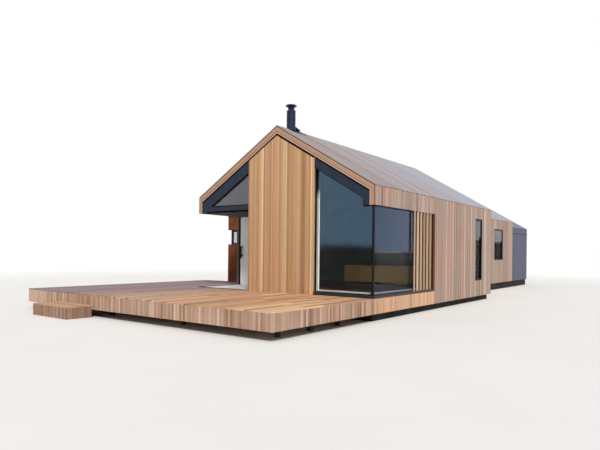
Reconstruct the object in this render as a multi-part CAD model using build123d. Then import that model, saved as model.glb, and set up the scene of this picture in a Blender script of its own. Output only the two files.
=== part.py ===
from build123d import *
import os
from math import atan2, cos

# Timber house: a main pitched volume with an open corner and a glazed corner,
# a matching rear volume set to the left, a grey end volume, a small flat-roofed
# wing and a raised deck. Millimetres, z = 0 is the ground.
# Working origin: front left corner of the main volume. The finished pieces are
# moved so that the origin is the middle of the footprint of the whole house.

# Heights above the ground
floor_top = 585
head_height = 2935
main_skirt = 200
rear_skirt = 320

# Main volume
main_width = 6400
main_length = 9250
eave_over_head = 522
roof_rise = 1897

# Rear volume, end volume and wing
rear_shift = 1500
rear_length = 8550
end_length = 3000
end_drop = 257
wing_width = 1750
wing_front = 3100
wing_length = 3600
wing_below_eave = 207

# Build-up of walls and roofs
wall = 220
boards = 30
roof_slab = 230
roof_boards = 30
base_recess = 150
rear_recess = 60
joint = 6
butt_gap = 2
door_width = 900
door_height = 2100

# Front gable
verge_depth = 150
verge_face = 235
verge_leg_left = 115
verge_leg_right = 172
panel_left = 2140
panel_right = 4520
panel_skin = 60
panel_gap = 40
trim_setback = 25
trim_gap = 7
trim_shadow = 35
shadow_depth = 20
right_band = 305
right_leg = 200
left_band = 395
left_leg = 215
left_setback = 65
beam_raise = 33
beam_height = 141
beam_width = 150
soffit = 15

# Glazed corner and slatted screen
glass_setback = 120
side_setback = 60
frame_width = 26
frame_depth = 32
pane = 28
post = 40
sill_height = 73
sill_depth = 200
opening_end = 3770
mullion_start = 2310
slat_start = 2360
slat_pitch = 224
slat_count = 6
slat_width = 45
slat_depth = 50
inner_frame = 60
inner_depth = 50
inner_upright = 75
reveal_board = 22

# Windows in the long right side
narrow_to_back = 1065
narrow_width = 730
narrow_sill = 770
narrow_over_head = 75
rear_window_to_back = 1730
rear_window_width = 1420
rear_window_sill = 1450
rear_window_over_head = 35
window_frame = 50
window_setback = 4
window_depth = 80

# Open corner
corner_end = 1950
track_width = 60
track_height = 12
jamb_board = 30
jamb_width = 80
jamb_post_left = 60
jamb_panel_end = 380
leaf_width = 900
leaf_depth = 50
leaf_stile = 55
leaf_rail = 110
leaf_count = 3
leaf_inset = 60

# Low kitchen block seen through the glazed corner
bench_left = 2200
bench_right = 4800
bench_front = 5300
bench_depth = 700
bench_height = 680
plinth_height = 100
plinth_recess = 60

# Deck and step
deck_front = 3940
deck_left = 2970
deck_board = 28
deck_skin = 25
joist_depth = 145
joist_width = 50
joist_pitch = 560
deck_post = 100
deck_post_inset = 400
front_post_columns = 4
front_post_rows = (1, 3, 5)
side_post_rows = (8, 11)
step_left = -1330
step_width = 1670
step_tread = 680
step_height = 309

# Corner window of the wing
wing_skin = 40
wing_wall = 150
wing_roof_depth = 200
wing_pane_left = 480
wing_pane_sill = 2010
wing_pane_height = 550
wing_pane_setback = 90

# Flue
flue_y = 660
flue_radius = 135
flue_top = 5885
neck_radius = 105
neck_height = 140
cap_radius = 165
cap_top_radius = 85
cap_height = 55
flashing = 8
flashing_length = 700
flashing_ahead = 170
flashing_half = 190
upstand_half = 90
upstand_rise = 80
upstand_end = 380

eave_height = head_height + eave_over_head
ridge_height = eave_height + roof_rise
rear_left = -rear_shift
wing_height = eave_height - wing_below_eave
rear_end = main_length + rear_length
house_end = rear_end + end_length
slope = roof_rise / (main_width / 2)
tilt = cos(atan2(roof_rise, main_width / 2))
board_drop = roof_boards / tilt
roof_drop = (roof_boards + roof_slab) / tilt
centre_x = (main_width - deck_left) / 2
centre_y = (house_end - deck_front - step_tread) / 2


def block(x0, x1, y0, y1, z0, z1):
    """A box between two corners."""
    return Pos((x0 + x1) / 2, (y0 + y1) / 2, (z0 + z1) / 2) * Box(x1 - x0, y1 - y0, z1 - z0)


def face_at(points, y):
    """A face in the upright plane at y, drawn as (x, z) points."""
    plane = Plane(origin=(0, y, 0), x_dir=(1, 0, 0), z_dir=(0, -1, 0))
    return plane * make_face(Polyline(*points, close=True))


def prism(points, y0, y1):
    """An upright (x, z) outline carried from y0 to y1."""
    return extrude(face_at(points, y0), amount=y1 - y0, dir=(0, 1, 0))


def frame_ring(points, y0, y1, width):
    """A frame of even width inside an upright (x, z) outline."""
    outer = make_face(Polyline(*points, close=True))
    ring = outer - offset(outer, amount=-width, kind=Kind.INTERSECTION)
    plane = Plane(origin=(0, y0, 0), x_dir=(1, 0, 0), z_dir=(0, -1, 0))
    return extrude(plane * ring, amount=y1 - y0, dir=(0, 1, 0))


class Volume:
    """A pitched volume: its roof surface and the outlines that follow it."""

    def __init__(self, left, eave):
        self.left, self.right = left, left + main_width
        self.middle = left + main_width / 2
        self.eave = eave

    def roof(self, x, drop=0):
        """Height of the roof surface at x, less a vertical drop."""
        return self.eave + slope * min(x - self.left, self.right - x) - drop

    def reach(self, z, drop):
        """Where the left slope, less a vertical drop, passes the height z."""
        return self.left + (z + drop - self.eave) / slope

    def outline(self, inset, drop, bottom):
        """The five-sided section, inset from the sides and dropped from the roof."""
        x0, x1 = self.left + inset, self.right - inset
        return [(x0, bottom), (x1, bottom), (x1, self.roof(x1, drop)),
                (self.middle, self.roof(self.middle, drop)), (x0, self.roof(x0, drop))]

    def band(self, x0, x1, drop0, drop1):
        """A strip that follows the slope between two drops."""
        return [(x0, self.roof(x0, drop1)), (x1, self.roof(x1, drop1)),
                (x1, self.roof(x1, drop0)), (x0, self.roof(x0, drop0))]

    def upright(self, x0, x1, bottom, drop):
        """A wall section under the slope."""
        return [(x0, bottom), (x1, bottom), (x1, self.roof(x1, drop)), (x0, self.roof(x0, drop))]

    def slabs(self, inset, drop0, drop1, y0, y1):
        """Two roof layers that meet at the ridge with an open joint."""
        left = self.band(self.left + inset, self.middle - joint / 2, drop0, drop1)
        right = self.band(self.middle + joint / 2, self.right - inset, drop0, drop1)
        return [prism(left, y0, y1), prism(right, y0, y1)]


main = Volume(0, eave_height)
rear = Volume(rear_left, eave_height)
end = Volume(rear_left, eave_height - end_drop)
parts = {}


def side_opening(y0, width, z0, height, x):
    """The cut of a window through the right wall at x."""
    return block(x - wall - boards - joint, x + joint, y0, y0 + width, z0, z0 + height)


narrow_start = main_length - narrow_to_back - narrow_width
narrow_top = head_height + narrow_over_head
narrow = (narrow_start, narrow_width, narrow_sill, narrow_top - narrow_sill)
rear_window_start = rear_end - rear_window_to_back - rear_window_width
rear_window_height = head_height + rear_window_over_head - rear_window_sill
rear_window = (rear_window_start, rear_window_width, rear_window_sill, rear_window_height)
door_left = main.middle - door_width / 2
doorway = (door_left, door_left + door_width, floor_top, floor_top + door_height)
rear_door_left = rear.middle - door_width / 2
rear_doorway = (rear_door_left, rear_door_left + door_width, floor_top, floor_top + door_height)
wing_door = wing_front + wing_length / 2 - door_width / 2


def ground_and_floor():
    """Recessed bases on the ground and the floors that they carry."""
    wing_back = wing_front + wing_length
    parts["base"] = [
        block(base_recess, main_width - base_recess, base_recess, main_length - joint, 0, main_skirt),
        block(-wing_width + base_recess, base_recess - joint, wing_front + base_recess,
              wing_back - base_recess, 0, main_skirt),
        block(rear.left + rear_recess, rear.right - rear_recess, main_length,
              house_end - rear_recess, 0, rear_skirt)]
    main_floor = block(0, main_width - boards, 0, main_length - boards, main_skirt, floor_top)
    main_floor -= block(0, boards, corner_end, main_length, main_skirt, floor_top)
    wing_floor = block(-wing_width + wing_skin, -joint, wing_front + wing_skin,
                       wing_back - wing_skin, main_skirt, floor_top)
    rear_floor = block(rear.left + boards, rear.right - boards, main_length,
                       house_end - boards, rear_skirt, floor_top)
    rear_floor -= block(rear.left, 0, main_length, main_length + boards, rear_skirt, floor_top)
    parts["floor"] = [main_floor, wing_floor, rear_floor]


def main_walls():
    """Lined timber walls of the main volume, behind their boards."""
    inner, outer = main.right - boards - wall, main.right - boards
    section = main.upright(inner, outer, floor_top, roof_drop)
    window_end = narrow_start + narrow_width
    back = main_length - boards - wall
    parts["side_walls"] = [prism(section, opening_end, narrow_start), prism(section, window_end, back)]
    parts["wall_infill"] = [
        prism(main.upright(inner, outer, head_height, roof_drop), verge_depth, opening_end),
        prism(main.upright(inner, outer, narrow_top, roof_drop), narrow_start, window_end),
        block(inner, outer, narrow_start, window_end, floor_top, narrow_sill)]
    left_section = main.upright(boards, boards + wall, floor_top, roof_drop)
    door_end = wing_door + door_width
    parts["side_walls"] += [prism(left_section, corner_end, wing_door), prism(left_section, door_end, back)]
    door_top = floor_top + door_height
    parts["wall_infill"] += [
        prism(main.upright(boards, boards + wall, head_height + soffit, roof_drop), verge_depth, corner_end),
        prism(main.upright(boards, boards + wall, door_top, roof_drop), wing_door, door_end)]
    gable = prism(main.outline(boards, roof_drop, floor_top), back, back + wall)
    x0, x1, z0, z1 = doorway
    parts["back_wall"] = [gable - block(x0, x1, 0, main_length, z0, z1)]
    panel = [(panel_left + boards, floor_top), (panel_right - boards, floor_top),
             (panel_right - boards, main.roof(panel_right - boards, roof_drop)),
             (main.middle, main.roof(main.middle, roof_drop)),
             (panel_left + boards, main.roof(panel_left + boards, roof_drop))]
    parts["gable_wall"] = [prism(panel, panel_skin, boards + wall)]


def main_boards():
    """Vertical boards on the walls and boards down the roof of the main volume."""
    side = main.upright(main.right - boards, main.right, main_skirt, board_drop)
    right = prism(side, 0, main_length)
    right -= block(0, main_width, 0, opening_end, floor_top, head_height)
    right -= side_opening(*narrow, main.right)
    parts["side_boards"] = [right]
    side = main.upright(0, boards, main_skirt, board_drop)
    left = prism(side, 0, main_length)
    left -= block(0, boards, 0, corner_end, main_skirt, head_height)
    left -= block(0, boards, wing_door, wing_door + door_width, floor_top, floor_top + door_height)
    parts["side_boards"].append(left)
    back = prism(main.outline(boards, board_drop, main_skirt), main_length - boards, main_length)
    x0, x1, z0, z1 = doorway
    parts["back_boards"] = [back - block(x0, x1, 0, main_length, z0, z1)]
    gap = verge_face + panel_gap
    face = [(panel_left, floor_top), (panel_right, floor_top), (panel_right, main.roof(panel_right, gap)),
            (main.middle, main.roof(main.middle, gap)), (panel_left, main.roof(panel_left, gap))]
    skin = prism(face, 0, panel_skin)
    skin += prism(main.upright(panel_right - boards, panel_right, floor_top, gap), panel_skin, glass_setback)
    inner_edge = main.upright(panel_left, panel_left + boards, floor_top, roof_drop)
    skin += prism(inner_edge, panel_skin, boards + wall)
    parts["gable_boards"] = [skin]
    parts["main_roof"] = main.slabs(boards, board_drop, roof_drop, verge_depth, main_length - boards)
    parts["main_roof_boards"] = main.slabs(0, 0, board_drop, 0, main_length)


def front_gable():
    """Verge boards, dark trims, the beams of the open corner and its soffit."""
    verge = main.slabs(boards, board_drop, verge_face, 0, verge_depth)
    leg_right = main_width - verge_leg_right
    for x0, x1 in ((boards, verge_leg_left), (leg_right, main_width - boards)):
        leg = main.upright(x0, x1, head_height, verge_face + butt_gap)
        verge.append(prism(leg, 0, verge_depth))
    parts["front_verge"] = verge
    x_left, x_right = verge_leg_left + trim_gap, leg_right - trim_gap
    soffit_top = head_height + soffit
    beam_low = soffit_top + beam_raise
    beam_high = beam_low + beam_height
    band_drop = verge_face + left_band
    rebate = prism(main.outline(0, 0, 0), 0, trim_setback + shadow_depth)
    rebate -= prism(main.outline(0, verge_face + trim_shadow, 0), 0, glass_setback)
    x_leg = x_left + left_leg
    left_trim = prism(main.band(x_left, panel_left, verge_face, band_drop), trim_setback, left_setback)
    left_trim += prism(main.upright(x_left, x_leg, soffit_top, verge_face), trim_setback, left_setback)
    left_trim -= rebate + block(0, panel_left, 0, glass_setback, 0, soffit_top)
    right_trim = prism(main.band(panel_right, x_right, verge_face, verge_face + right_band),
                       trim_setback, glass_setback) - rebate
    right_post = prism(main.upright(x_right - right_leg, x_right, head_height,
                                    verge_face + right_band + butt_gap), trim_setback, glass_setback)
    parts["front_trim"] = [left_trim, right_trim, right_post]
    beam_drop = band_drop + butt_gap
    x_beam = x_leg + butt_gap
    beam = [(x_beam, beam_low), (panel_left, beam_low), (panel_left, beam_high),
            (main.reach(beam_high, beam_drop), beam_high), (x_beam, main.roof(x_beam, beam_drop))]
    side_beam = boards + wall
    parts["corner_beam"] = [
        prism(beam, trim_setback, left_setback),
        block(side_beam, side_beam + beam_width, verge_depth + joint, corner_end, soffit_top, beam_high)]
    parts["corner_soffit"] = [block(boards, panel_left, verge_depth, corner_end, head_height, soffit_top)]


def glazed_corner():
    """Frames, panes, corner post, sill, inner frame, reveal and slats of the glazed corner."""
    sill_top = floor_top + sill_height
    side_x = main_width - side_setback
    post_left = side_x - post
    leg_left = main_width - verge_leg_right - trim_gap - right_leg
    band_low = verge_face + right_band
    right_pane = [(panel_right, sill_top), (post_left, sill_top), (post_left, head_height),
                  (leg_left, head_height), (leg_left, main.roof(leg_left, band_low)),
                  (panel_right, main.roof(panel_right, band_low))]
    beam_top = head_height + soffit + beam_raise + beam_height
    left_drop = verge_face + left_band
    left_pane = [(main.reach(beam_top, left_drop), beam_top), (panel_left, beam_top),
                 (panel_left, main.roof(panel_left, left_drop))]
    y0, y1 = glass_setback - frame_depth, glass_setback
    inner_y = y1 + pane
    z_low, z_high = sill_top + frame_width, head_height - frame_width
    right_frame = frame_ring(right_pane, y0, y1, frame_width)
    right_frame -= block(post_left - frame_width, post_left, y0, y1, z_low, z_high)
    left_frame = frame_ring(left_pane, left_setback - frame_depth, left_setback, frame_width)
    parts["front_frame"] = [right_frame, left_frame]
    parts["front_glass"] = [prism(right_pane, y1, inner_y),
                            prism(left_pane, left_setback, left_setback + pane)]
    parts["corner_post"] = [block(post_left, side_x, y0, inner_y, sill_top, head_height)]
    end = opening_end - reveal_board
    side = block(side_x - frame_depth, side_x, inner_y, end, sill_top, head_height)
    side -= block(0, main_width, inner_y, mullion_start, z_low, z_high)
    side -= block(0, main_width, mullion_start + frame_width, end - frame_width, z_low, z_high)
    parts["side_frame"] = [side]
    glass_x = side_x - frame_depth
    parts["side_glass"] = [block(glass_x - pane, glass_x, inner_y, end, sill_top, head_height)]
    inner = main_width - boards - wall
    sill_end = sill_depth + butt_gap
    parts["corner_sill"] = [block(panel_right, main_width, 0, sill_depth, floor_top, sill_top),
                            block(inner, main_width, sill_end, opening_end, floor_top, sill_top)]
    rail_top = sill_top + inner_frame
    rail_back = inner_y + inner_depth
    upright = main.upright(panel_right, panel_right + inner_upright, rail_top, band_low)
    side_rail = glass_x - pane
    parts["inner_frame"] = [
        block(panel_right, side_rail, inner_y, rail_back, sill_top, rail_top),
        prism(upright, inner_y, rail_back),
        block(side_rail - inner_depth, side_rail, sill_end, end, sill_top, rail_top)]
    parts["corner_reveal"] = [block(inner, main_width, end, opening_end, sill_top, head_height)]
    parts["slats"] = [block(main_width - slat_depth, main_width, y, y + slat_width, sill_top, head_height)
                      for y in (slat_start + n * slat_pitch for n in range(slat_count))]


def side_windows():
    """The narrow window and the rear window in the long right side."""
    frames, panes = [], []
    for (y0, width, z0, height), x in ((narrow, main.right), (rear_window, rear.right)):
        x1 = x - window_setback
        frame = block(x1 - window_depth, x1, y0, y0 + width, z0, z0 + height)
        y_low, y_high = y0 + window_frame, y0 + width - window_frame
        z_low, z_high = z0 + window_frame, z0 + height - window_frame
        frame -= block(x1 - window_depth, x1, y_low, y_high, z_low, z_high)
        frames.append(frame)
        middle = x1 - window_depth / 2
        panes.append(block(middle - pane / 2, middle + pane / 2, y_low, y_high, z_low, z_high))
    parts["window_frames"] = frames
    parts["window_glass"] = panes


def open_corner():
    """Door tracks, rear jamb and the folded stack of glazed leaves."""
    z0 = floor_top + track_height
    jamb_front = corner_end - jamb_board
    parts["door_tracks"] = [block(0, panel_left, 0, track_width, floor_top, z0),
                            block(0, track_width, track_width + butt_gap, jamb_front - butt_gap,
                                  floor_top, z0)]
    parts["door_jamb"] = [block(-jamb_post_left - jamb_width, -jamb_post_left, jamb_front, corner_end,
                                floor_top, head_height)]
    parts["jamb_post"] = [block(-jamb_post_left, boards, jamb_front, corner_end, floor_top, head_height)]
    parts["jamb_panel"] = [block(boards, jamb_panel_end, jamb_front, corner_end, floor_top, head_height)]
    frames, panes = [], []
    x0 = boards + wall + joint
    for n in range(leaf_count):
        y0 = corner_end + leaf_inset + n * (leaf_depth + joint)
        leaf = block(x0, x0 + leaf_width, y0, y0 + leaf_depth, floor_top, head_height)
        inner = (x0 + leaf_stile, x0 + leaf_width - leaf_stile,
                 floor_top + leaf_rail, head_height - leaf_stile)
        leaf -= block(inner[0], inner[1], y0, y0 + leaf_depth, inner[2], inner[3])
        frames.append(leaf)
        y_mid = y0 + leaf_depth / 2
        panes.append(block(inner[0], inner[1], y_mid - pane / 2, y_mid + pane / 2, inner[2], inner[3]))
    parts["door_frames"] = frames
    parts["door_glass"] = panes


def kitchen_block():
    """A low block on a recessed plinth, standing on the floor of the main room."""
    back = bench_front + bench_depth
    plinth_top = floor_top + plinth_height
    body = block(bench_left, bench_right, bench_front, back, plinth_top, floor_top + bench_height)
    inset = plinth_recess
    plinth = block(bench_left + inset, bench_right - inset, bench_front + inset, back - inset,
                   floor_top, plinth_top)
    parts["bench"] = [body + plinth]


def deck():
    """Raised deck round the open corner: boards, joists, posts, skirt and step."""
    deck_back = wing_front
    top, under = floor_top, floor_top - deck_board
    front, left = -deck_front, -deck_left
    skin = deck_skin
    parts["deck_boards"] = [block(left, -joint / 2, front, deck_back, under, top),
                            block(joint / 2, main_width, front, 0, under, top)]
    parts["deck_skirt"] = [
        block(left, main_width, front, front + skin, main_skirt, under),
        block(main_width - skin, main_width, front + skin + butt_gap, 0, main_skirt, under),
        block(left, left + skin, front + skin + butt_gap, deck_back, main_skirt, under),
        block(left + skin + butt_gap, -wing_width, deck_back - skin, deck_back, main_skirt, under)]
    joists = []
    y = front + skin + joint
    while y < deck_back - skin - joist_width:
        right = main_width - skin - joint if y + joist_width < 0 else -joint
        joists.append(block(left + skin + joint, right, y, y + joist_width, under - joist_depth, under))
        y += joist_pitch
    parts["deck_joists"] = joists
    post_top = under - joist_depth
    posts = []
    x0, x1 = left + deck_post_inset, main_width - deck_post_inset
    for row in front_post_rows:
        y = front + skin + joint + row * joist_pitch
        for n in range(front_post_columns):
            x = x0 + n * (x1 - x0) / (front_post_columns - 1)
            posts.append(block(x - deck_post / 2, x + deck_post / 2, y, y + deck_post, 0, post_top))
    for row in side_post_rows:
        y = front + skin + joint + row * joist_pitch
        for x in (x0, -deck_post_inset):
            posts.append(block(x - deck_post / 2, x + deck_post / 2, y, y + deck_post, 0, post_top))
    parts["deck_posts"] = posts
    step_right = step_left + step_width
    step_front = front - step_tread
    step = block(step_left, step_right, step_front, front, 0, step_height)
    step -= block(step_left + skin, step_right - skin, step_front + skin, front, 0, step_height - deck_board)
    parts["step"] = [step]


def wing():
    """Flat-roofed wing: walls, mesh skin, roof and the window round its corner."""
    left, front, back = -wing_width, wing_front, wing_front + wing_length
    x0, y0, y1 = left + wing_skin, front + wing_skin, back - wing_skin
    top = wing_height - wing_roof_depth
    z0, z1 = wing_pane_sill, wing_pane_sill + wing_pane_height
    corner = block(left - joint, left + wing_pane_left, front - joint, front + wing_pane_left, z0, z1)
    front_wall = block(x0, 0, y0, y0 + wing_wall, floor_top, top) - corner
    left_wall = block(x0, x0 + wing_wall, y0 + wing_wall + butt_gap, y1 - wing_wall - butt_gap,
                      floor_top, top) - corner
    back_wall = block(x0, 0, y1 - wing_wall, y1, floor_top, top)
    parts["wing_walls"] = [front_wall, left_wall, back_wall]
    skin = block(left, 0, front, back, main_skirt, top) - block(x0, 0, y0, y1, main_skirt, top)
    parts["wing_mesh"] = [skin - corner]
    parts["wing_roof"] = [block(left, 0, front, back, top, wing_height)]
    pane_x, pane_y = left + wing_pane_setback, front + wing_pane_setback
    edge = window_frame
    glass_x, glass_y = left + wing_pane_left, front + wing_pane_left
    front_frame = block(pane_x, glass_x, pane_y, pane_y + edge, z0, z1)
    front_frame -= block(pane_x + edge, glass_x - edge, pane_y, pane_y + edge, z0 + edge, z1 - edge)
    side_frame = block(pane_x, pane_x + edge, pane_y + edge, glass_y, z0, z1)
    side_frame -= block(pane_x, pane_x + edge, pane_y + 2 * edge, glass_y - edge, z0 + edge, z1 - edge)
    parts["window_frames"].append(front_frame + side_frame)
    mid = (edge - pane) / 2
    parts["window_glass"] += [
        block(pane_x + edge, glass_x - edge, pane_y + mid, pane_y + mid + pane, z0 + edge, z1 - edge),
        block(pane_x + mid, pane_x + mid + pane, pane_y + 2 * edge, glass_y - edge, z0 + edge, z1 - edge)]


def rear_volume():
    """Rear larch volume: walls, boards and roof."""
    inner, outer = rear.right - boards - wall, rear.right - boards
    left0, left1 = rear.left + boards, rear.left + boards + wall
    y_front, y_wall = main_length + boards, main_length + boards + wall
    y_back = rear_end - boards - wall
    right = prism(rear.upright(inner, outer, floor_top, roof_drop), y_front, y_back)
    right -= side_opening(*rear_window, rear.right)
    parts["rear_walls"] = [right, prism(rear.upright(left0, left1, floor_top, roof_drop), y_wall, y_back)]
    main_section = prism(main.outline(0, 0, 0), main_length, y_wall)
    front = prism(rear.outline(boards, roof_drop, floor_top), y_front, y_wall) - main_section
    back = prism(rear.outline(boards, roof_drop, floor_top), y_back, rear_end - boards)
    x0, x1, z0, z1 = rear_doorway
    parts["rear_gable_walls"] = [front, back - block(x0, x1, 0, rear_end, z0, z1)]
    right_skin = prism(rear.upright(rear.right - boards, rear.right, rear_skirt, board_drop),
                       main_length, rear_end)
    right_skin -= side_opening(*rear_window, rear.right)
    left_skin = prism(rear.upright(rear.left, rear.left + boards, rear_skirt, board_drop),
                      main_length, rear_end)
    front_skin = prism(rear.outline(boards, board_drop, rear_skirt), main_length, y_front) - main_section
    back_skin = prism(rear.outline(boards, board_drop, floor_top), rear_end - boards, rear_end)
    back_skin -= block(x0, x1, 0, rear_end, z0, z1)
    parts["rear_side_boards"] = [right_skin, left_skin]
    parts["rear_gable_boards"] = [front_skin, back_skin]
    parts["rear_roof"] = rear.slabs(boards, board_drop, roof_drop, y_front, rear_end - boards)
    parts["rear_roof_boards"] = rear.slabs(0, 0, board_drop, main_length, rear_end)


def end_volume():
    """Grey ribbed end volume."""
    inner, outer = end.right - boards - wall, end.right - boards
    left0, left1 = end.left + boards, end.left + boards + wall
    y_back = house_end - boards
    parts["end_walls"] = [prism(end.upright(inner, outer, floor_top, roof_drop), rear_end, y_back - wall),
                          prism(end.upright(left0, left1, floor_top, roof_drop), rear_end, y_back - wall)]
    parts["end_back_wall"] = [prism(end.outline(boards, roof_drop, floor_top), y_back - wall, y_back)]
    parts["end_roof"] = end.slabs(boards, board_drop, roof_drop, rear_end, y_back)
    skins = [prism(end.upright(end.right - boards, end.right, rear_skirt, board_drop), rear_end, house_end),
             prism(end.upright(end.left, end.left + boards, rear_skirt, board_drop), rear_end, house_end)]
    parts["end_side_skin"] = skins
    parts["end_gable_skin"] = [prism(end.outline(boards, board_drop, rear_skirt), y_back, house_end)]
    parts["end_roof_skin"] = end.slabs(0, 0, board_drop, rear_end, house_end)


def flue():
    """Flue pipe on the ridge with its saddle flashing, the sloped upstand behind it and the cowl."""
    y0 = flue_y - flashing_ahead
    y1 = y0 + flashing_length
    middle = main.middle
    low = -flashing / tilt
    x0, x1 = middle - flashing_half, middle + flashing_half
    outline = [(x0, main.roof(x0)), (middle, ridge_height), (x1, main.roof(x1)),
               (x1, main.roof(x1, low)), (middle, main.roof(middle, low)), (x0, main.roof(x0, low))]
    pipe_hole = Pos(middle, flue_y, flue_top / 2) * Cylinder(flue_radius, flue_top)
    saddle = prism(outline, y0, y1)
    below = prism(main.outline(0, low, 0), y0, y1)
    pipe = pipe_hole - below
    fall = [(flue_y, 0), (flue_y + upstand_end, 0), (flue_y + upstand_end, ridge_height),
            (flue_y + flue_radius, ridge_height + upstand_rise), (flue_y, ridge_height + upstand_rise)]
    along = Plane(origin=(middle - upstand_half, 0, 0), x_dir=(0, 1, 0), z_dir=(1, 0, 0))
    upstand = extrude(along * make_face(Polyline(*fall, close=True)), amount=2 * upstand_half)
    parts["flue_flashing"] = [saddle, upstand - below - pipe_hole]
    parts["flue_pipe"] = [pipe]
    neck = Pos(middle, flue_y, flue_top + neck_height / 2) * Cylinder(neck_radius, neck_height)
    cap_z = flue_top + neck_height
    cap = Pos(middle, flue_y, cap_z + cap_height / 2) * Cone(cap_radius, cap_top_radius, cap_height)
    parts["flue_cowl"] = [neck + cap]


ground_and_floor()
main_walls()
main_boards()
front_gable()
glazed_corner()
side_windows()
open_corner()
kitchen_block()
deck()
wing()
rear_volume()
end_volume()
flue()

os.makedirs("parts", exist_ok=True)
for name, solids in parts.items():
    placed = []
    for solid in solids:
        placed += [Pos(-centre_x, -centre_y, 0) * piece for piece in solid.solids()]
    shape = placed[0] if len(placed) == 1 else Compound(children=placed)
    export_step(shape, f"parts/{name}.step")
    print(name, len(placed), round(sum(piece.volume for piece in placed) / 1e9, 3))
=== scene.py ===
import math
import bpy
import numpy as np
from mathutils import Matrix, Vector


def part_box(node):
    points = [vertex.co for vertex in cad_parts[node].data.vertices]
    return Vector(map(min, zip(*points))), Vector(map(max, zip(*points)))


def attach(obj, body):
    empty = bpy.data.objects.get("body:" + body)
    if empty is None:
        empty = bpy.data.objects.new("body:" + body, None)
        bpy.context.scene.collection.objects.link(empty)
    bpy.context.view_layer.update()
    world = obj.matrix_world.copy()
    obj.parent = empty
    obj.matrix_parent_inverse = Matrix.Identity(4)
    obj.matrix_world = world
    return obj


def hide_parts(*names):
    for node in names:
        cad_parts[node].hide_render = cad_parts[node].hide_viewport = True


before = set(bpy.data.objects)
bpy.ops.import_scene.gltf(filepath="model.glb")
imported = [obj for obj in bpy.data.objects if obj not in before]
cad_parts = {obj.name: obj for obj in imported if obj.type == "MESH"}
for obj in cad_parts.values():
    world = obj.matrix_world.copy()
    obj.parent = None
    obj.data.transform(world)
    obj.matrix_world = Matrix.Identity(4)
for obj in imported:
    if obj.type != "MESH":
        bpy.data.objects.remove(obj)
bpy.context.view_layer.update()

xAxis, yAxis, zAxis = np.eye(3)
snap = 0.002  # metres: a board isn't parted this close to its own edge
near = 0.005  # metres: points this near to a line or a level lie on it


# reading the frame
def box(node):
    # the lowest and the highest corner of a node
    low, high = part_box(node)
    return np.array(low), np.array(high)


def nodePoints(node):
    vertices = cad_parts[node].data.vertices
    flat = np.empty(len(vertices) * 3)
    vertices.foreach_get("co", flat)
    return flat.reshape(-1, 3)


def solids(node):
    # one box per separate solid, from left to right:
    # the smallest label travels along the edges until none changes
    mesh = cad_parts[node].data
    spots, back = np.unique(np.round(nodePoints(node), 4), axis=0, return_inverse=True)
    ends = np.empty(len(mesh.edges) * 2, dtype=np.int64)
    mesh.edges.foreach_get("vertices", ends)
    ends = back.ravel()[ends].reshape(-1, 2)
    labels = np.arange(len(spots))
    settled = False
    while not settled:
        lowest = labels[ends].min(axis=1)
        fresh = labels.copy()
        np.minimum.at(fresh, ends[:, 0], lowest)
        np.minimum.at(fresh, ends[:, 1], lowest)
        settled = bool((fresh == labels).all())
        labels = fresh
    groups = [spots[labels == label] for label in np.unique(labels)]
    return [(group.min(axis=0), group.max(axis=0)) for group in groups]


def roofOf(node):
    # the lines of a pitched roof; drop is how far below its face the walls end
    low, high = box(node)
    points = nodePoints(node)
    top = points[np.argmax(points[:, 2])]
    eave = points[points[:, 0] > high[0] - near, 2].max()
    slope = (top[2] - eave) / (high[0] - top[0])
    middle = (low[0] + high[0]) / 2
    half = high[0] - middle
    return {"left": low[0], "right": high[0], "middle": middle, "half": half, "width": high[0] - low[0],
            "start": low[1], "end": high[1], "length": high[1] - low[1], "eave": eave, "slope": slope,
            "ridge": eave + slope * half, "slant": math.hypot(half, slope * half), "under": low[2],
            "drop": eave - low[2]}


def roofHeight(roof, x, drop=0.0):
    # the eave, plus the slope times the way to the nearer side, less a drop
    return roof["eave"] + roof["slope"] * np.minimum(x - roof["left"], roof["right"] - x) - drop


# meshes
def newObject(name, data):
    thing = bpy.data.objects.new(name, data)
    bpy.context.scene.collection.objects.link(thing)
    return thing


def makeMesh(name, shape):
    # faces are tables of point numbers, a face to a row; tone is one value for each board
    mesh = bpy.data.meshes.new(name)
    corners = np.concatenate([rows.ravel() for rows in shape["faces"]]).astype(np.int32)
    sizes = np.concatenate([np.full(len(rows), rows.shape[1]) for rows in shape["faces"]])
    starts = np.concatenate([[0], np.cumsum(sizes)[:-1]]).astype(np.int32)
    mesh.vertices.add(len(shape["points"]))
    mesh.vertices.foreach_set("co", shape["points"].astype(np.float32).ravel())
    mesh.loops.add(len(corners))
    mesh.loops.foreach_set("vertex_index", corners)
    mesh.polygons.add(len(sizes))
    mesh.polygons.foreach_set("loop_start", starts)
    mesh.update(calc_edges=True)
    layer = mesh.uv_layers.new(name="grain")
    layer.data.foreach_set("uv", shape["uv"][corners].astype(np.float32).ravel())
    tone = mesh.attributes.new("tone", "FLOAT", "POINT")
    tone.data.foreach_set("value", shape["tone"].astype(np.float32))
    mesh.polygons.foreach_set("use_smooth", np.zeros(len(sizes), dtype=bool))
    mesh.validate()
    return mesh


def joined(shapes):
    # several shapes as one, each one's point numbers moved past those before it
    starts = np.cumsum([0] + [len(shape["points"]) for shape in shapes])
    together = {key: np.concatenate([shape[key] for shape in shapes]) for key in ("points", "uv", "tone")}
    return dict(together, faces=[rows + start for shape, start in zip(shapes, starts)
                                 for rows in shape["faces"]])


def addPiece(name, shapes, material, slot, *stands):
    # stands are the nodes that the piece is seen in place of
    piece = newObject(name, makeMesh(name, joined(shapes)))
    piece.data.materials.append(materials[material])
    if stands:
        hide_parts(*stands)
    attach(piece, "root")
    print("piece", name, len(piece.data.polygons), "faces")


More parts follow.
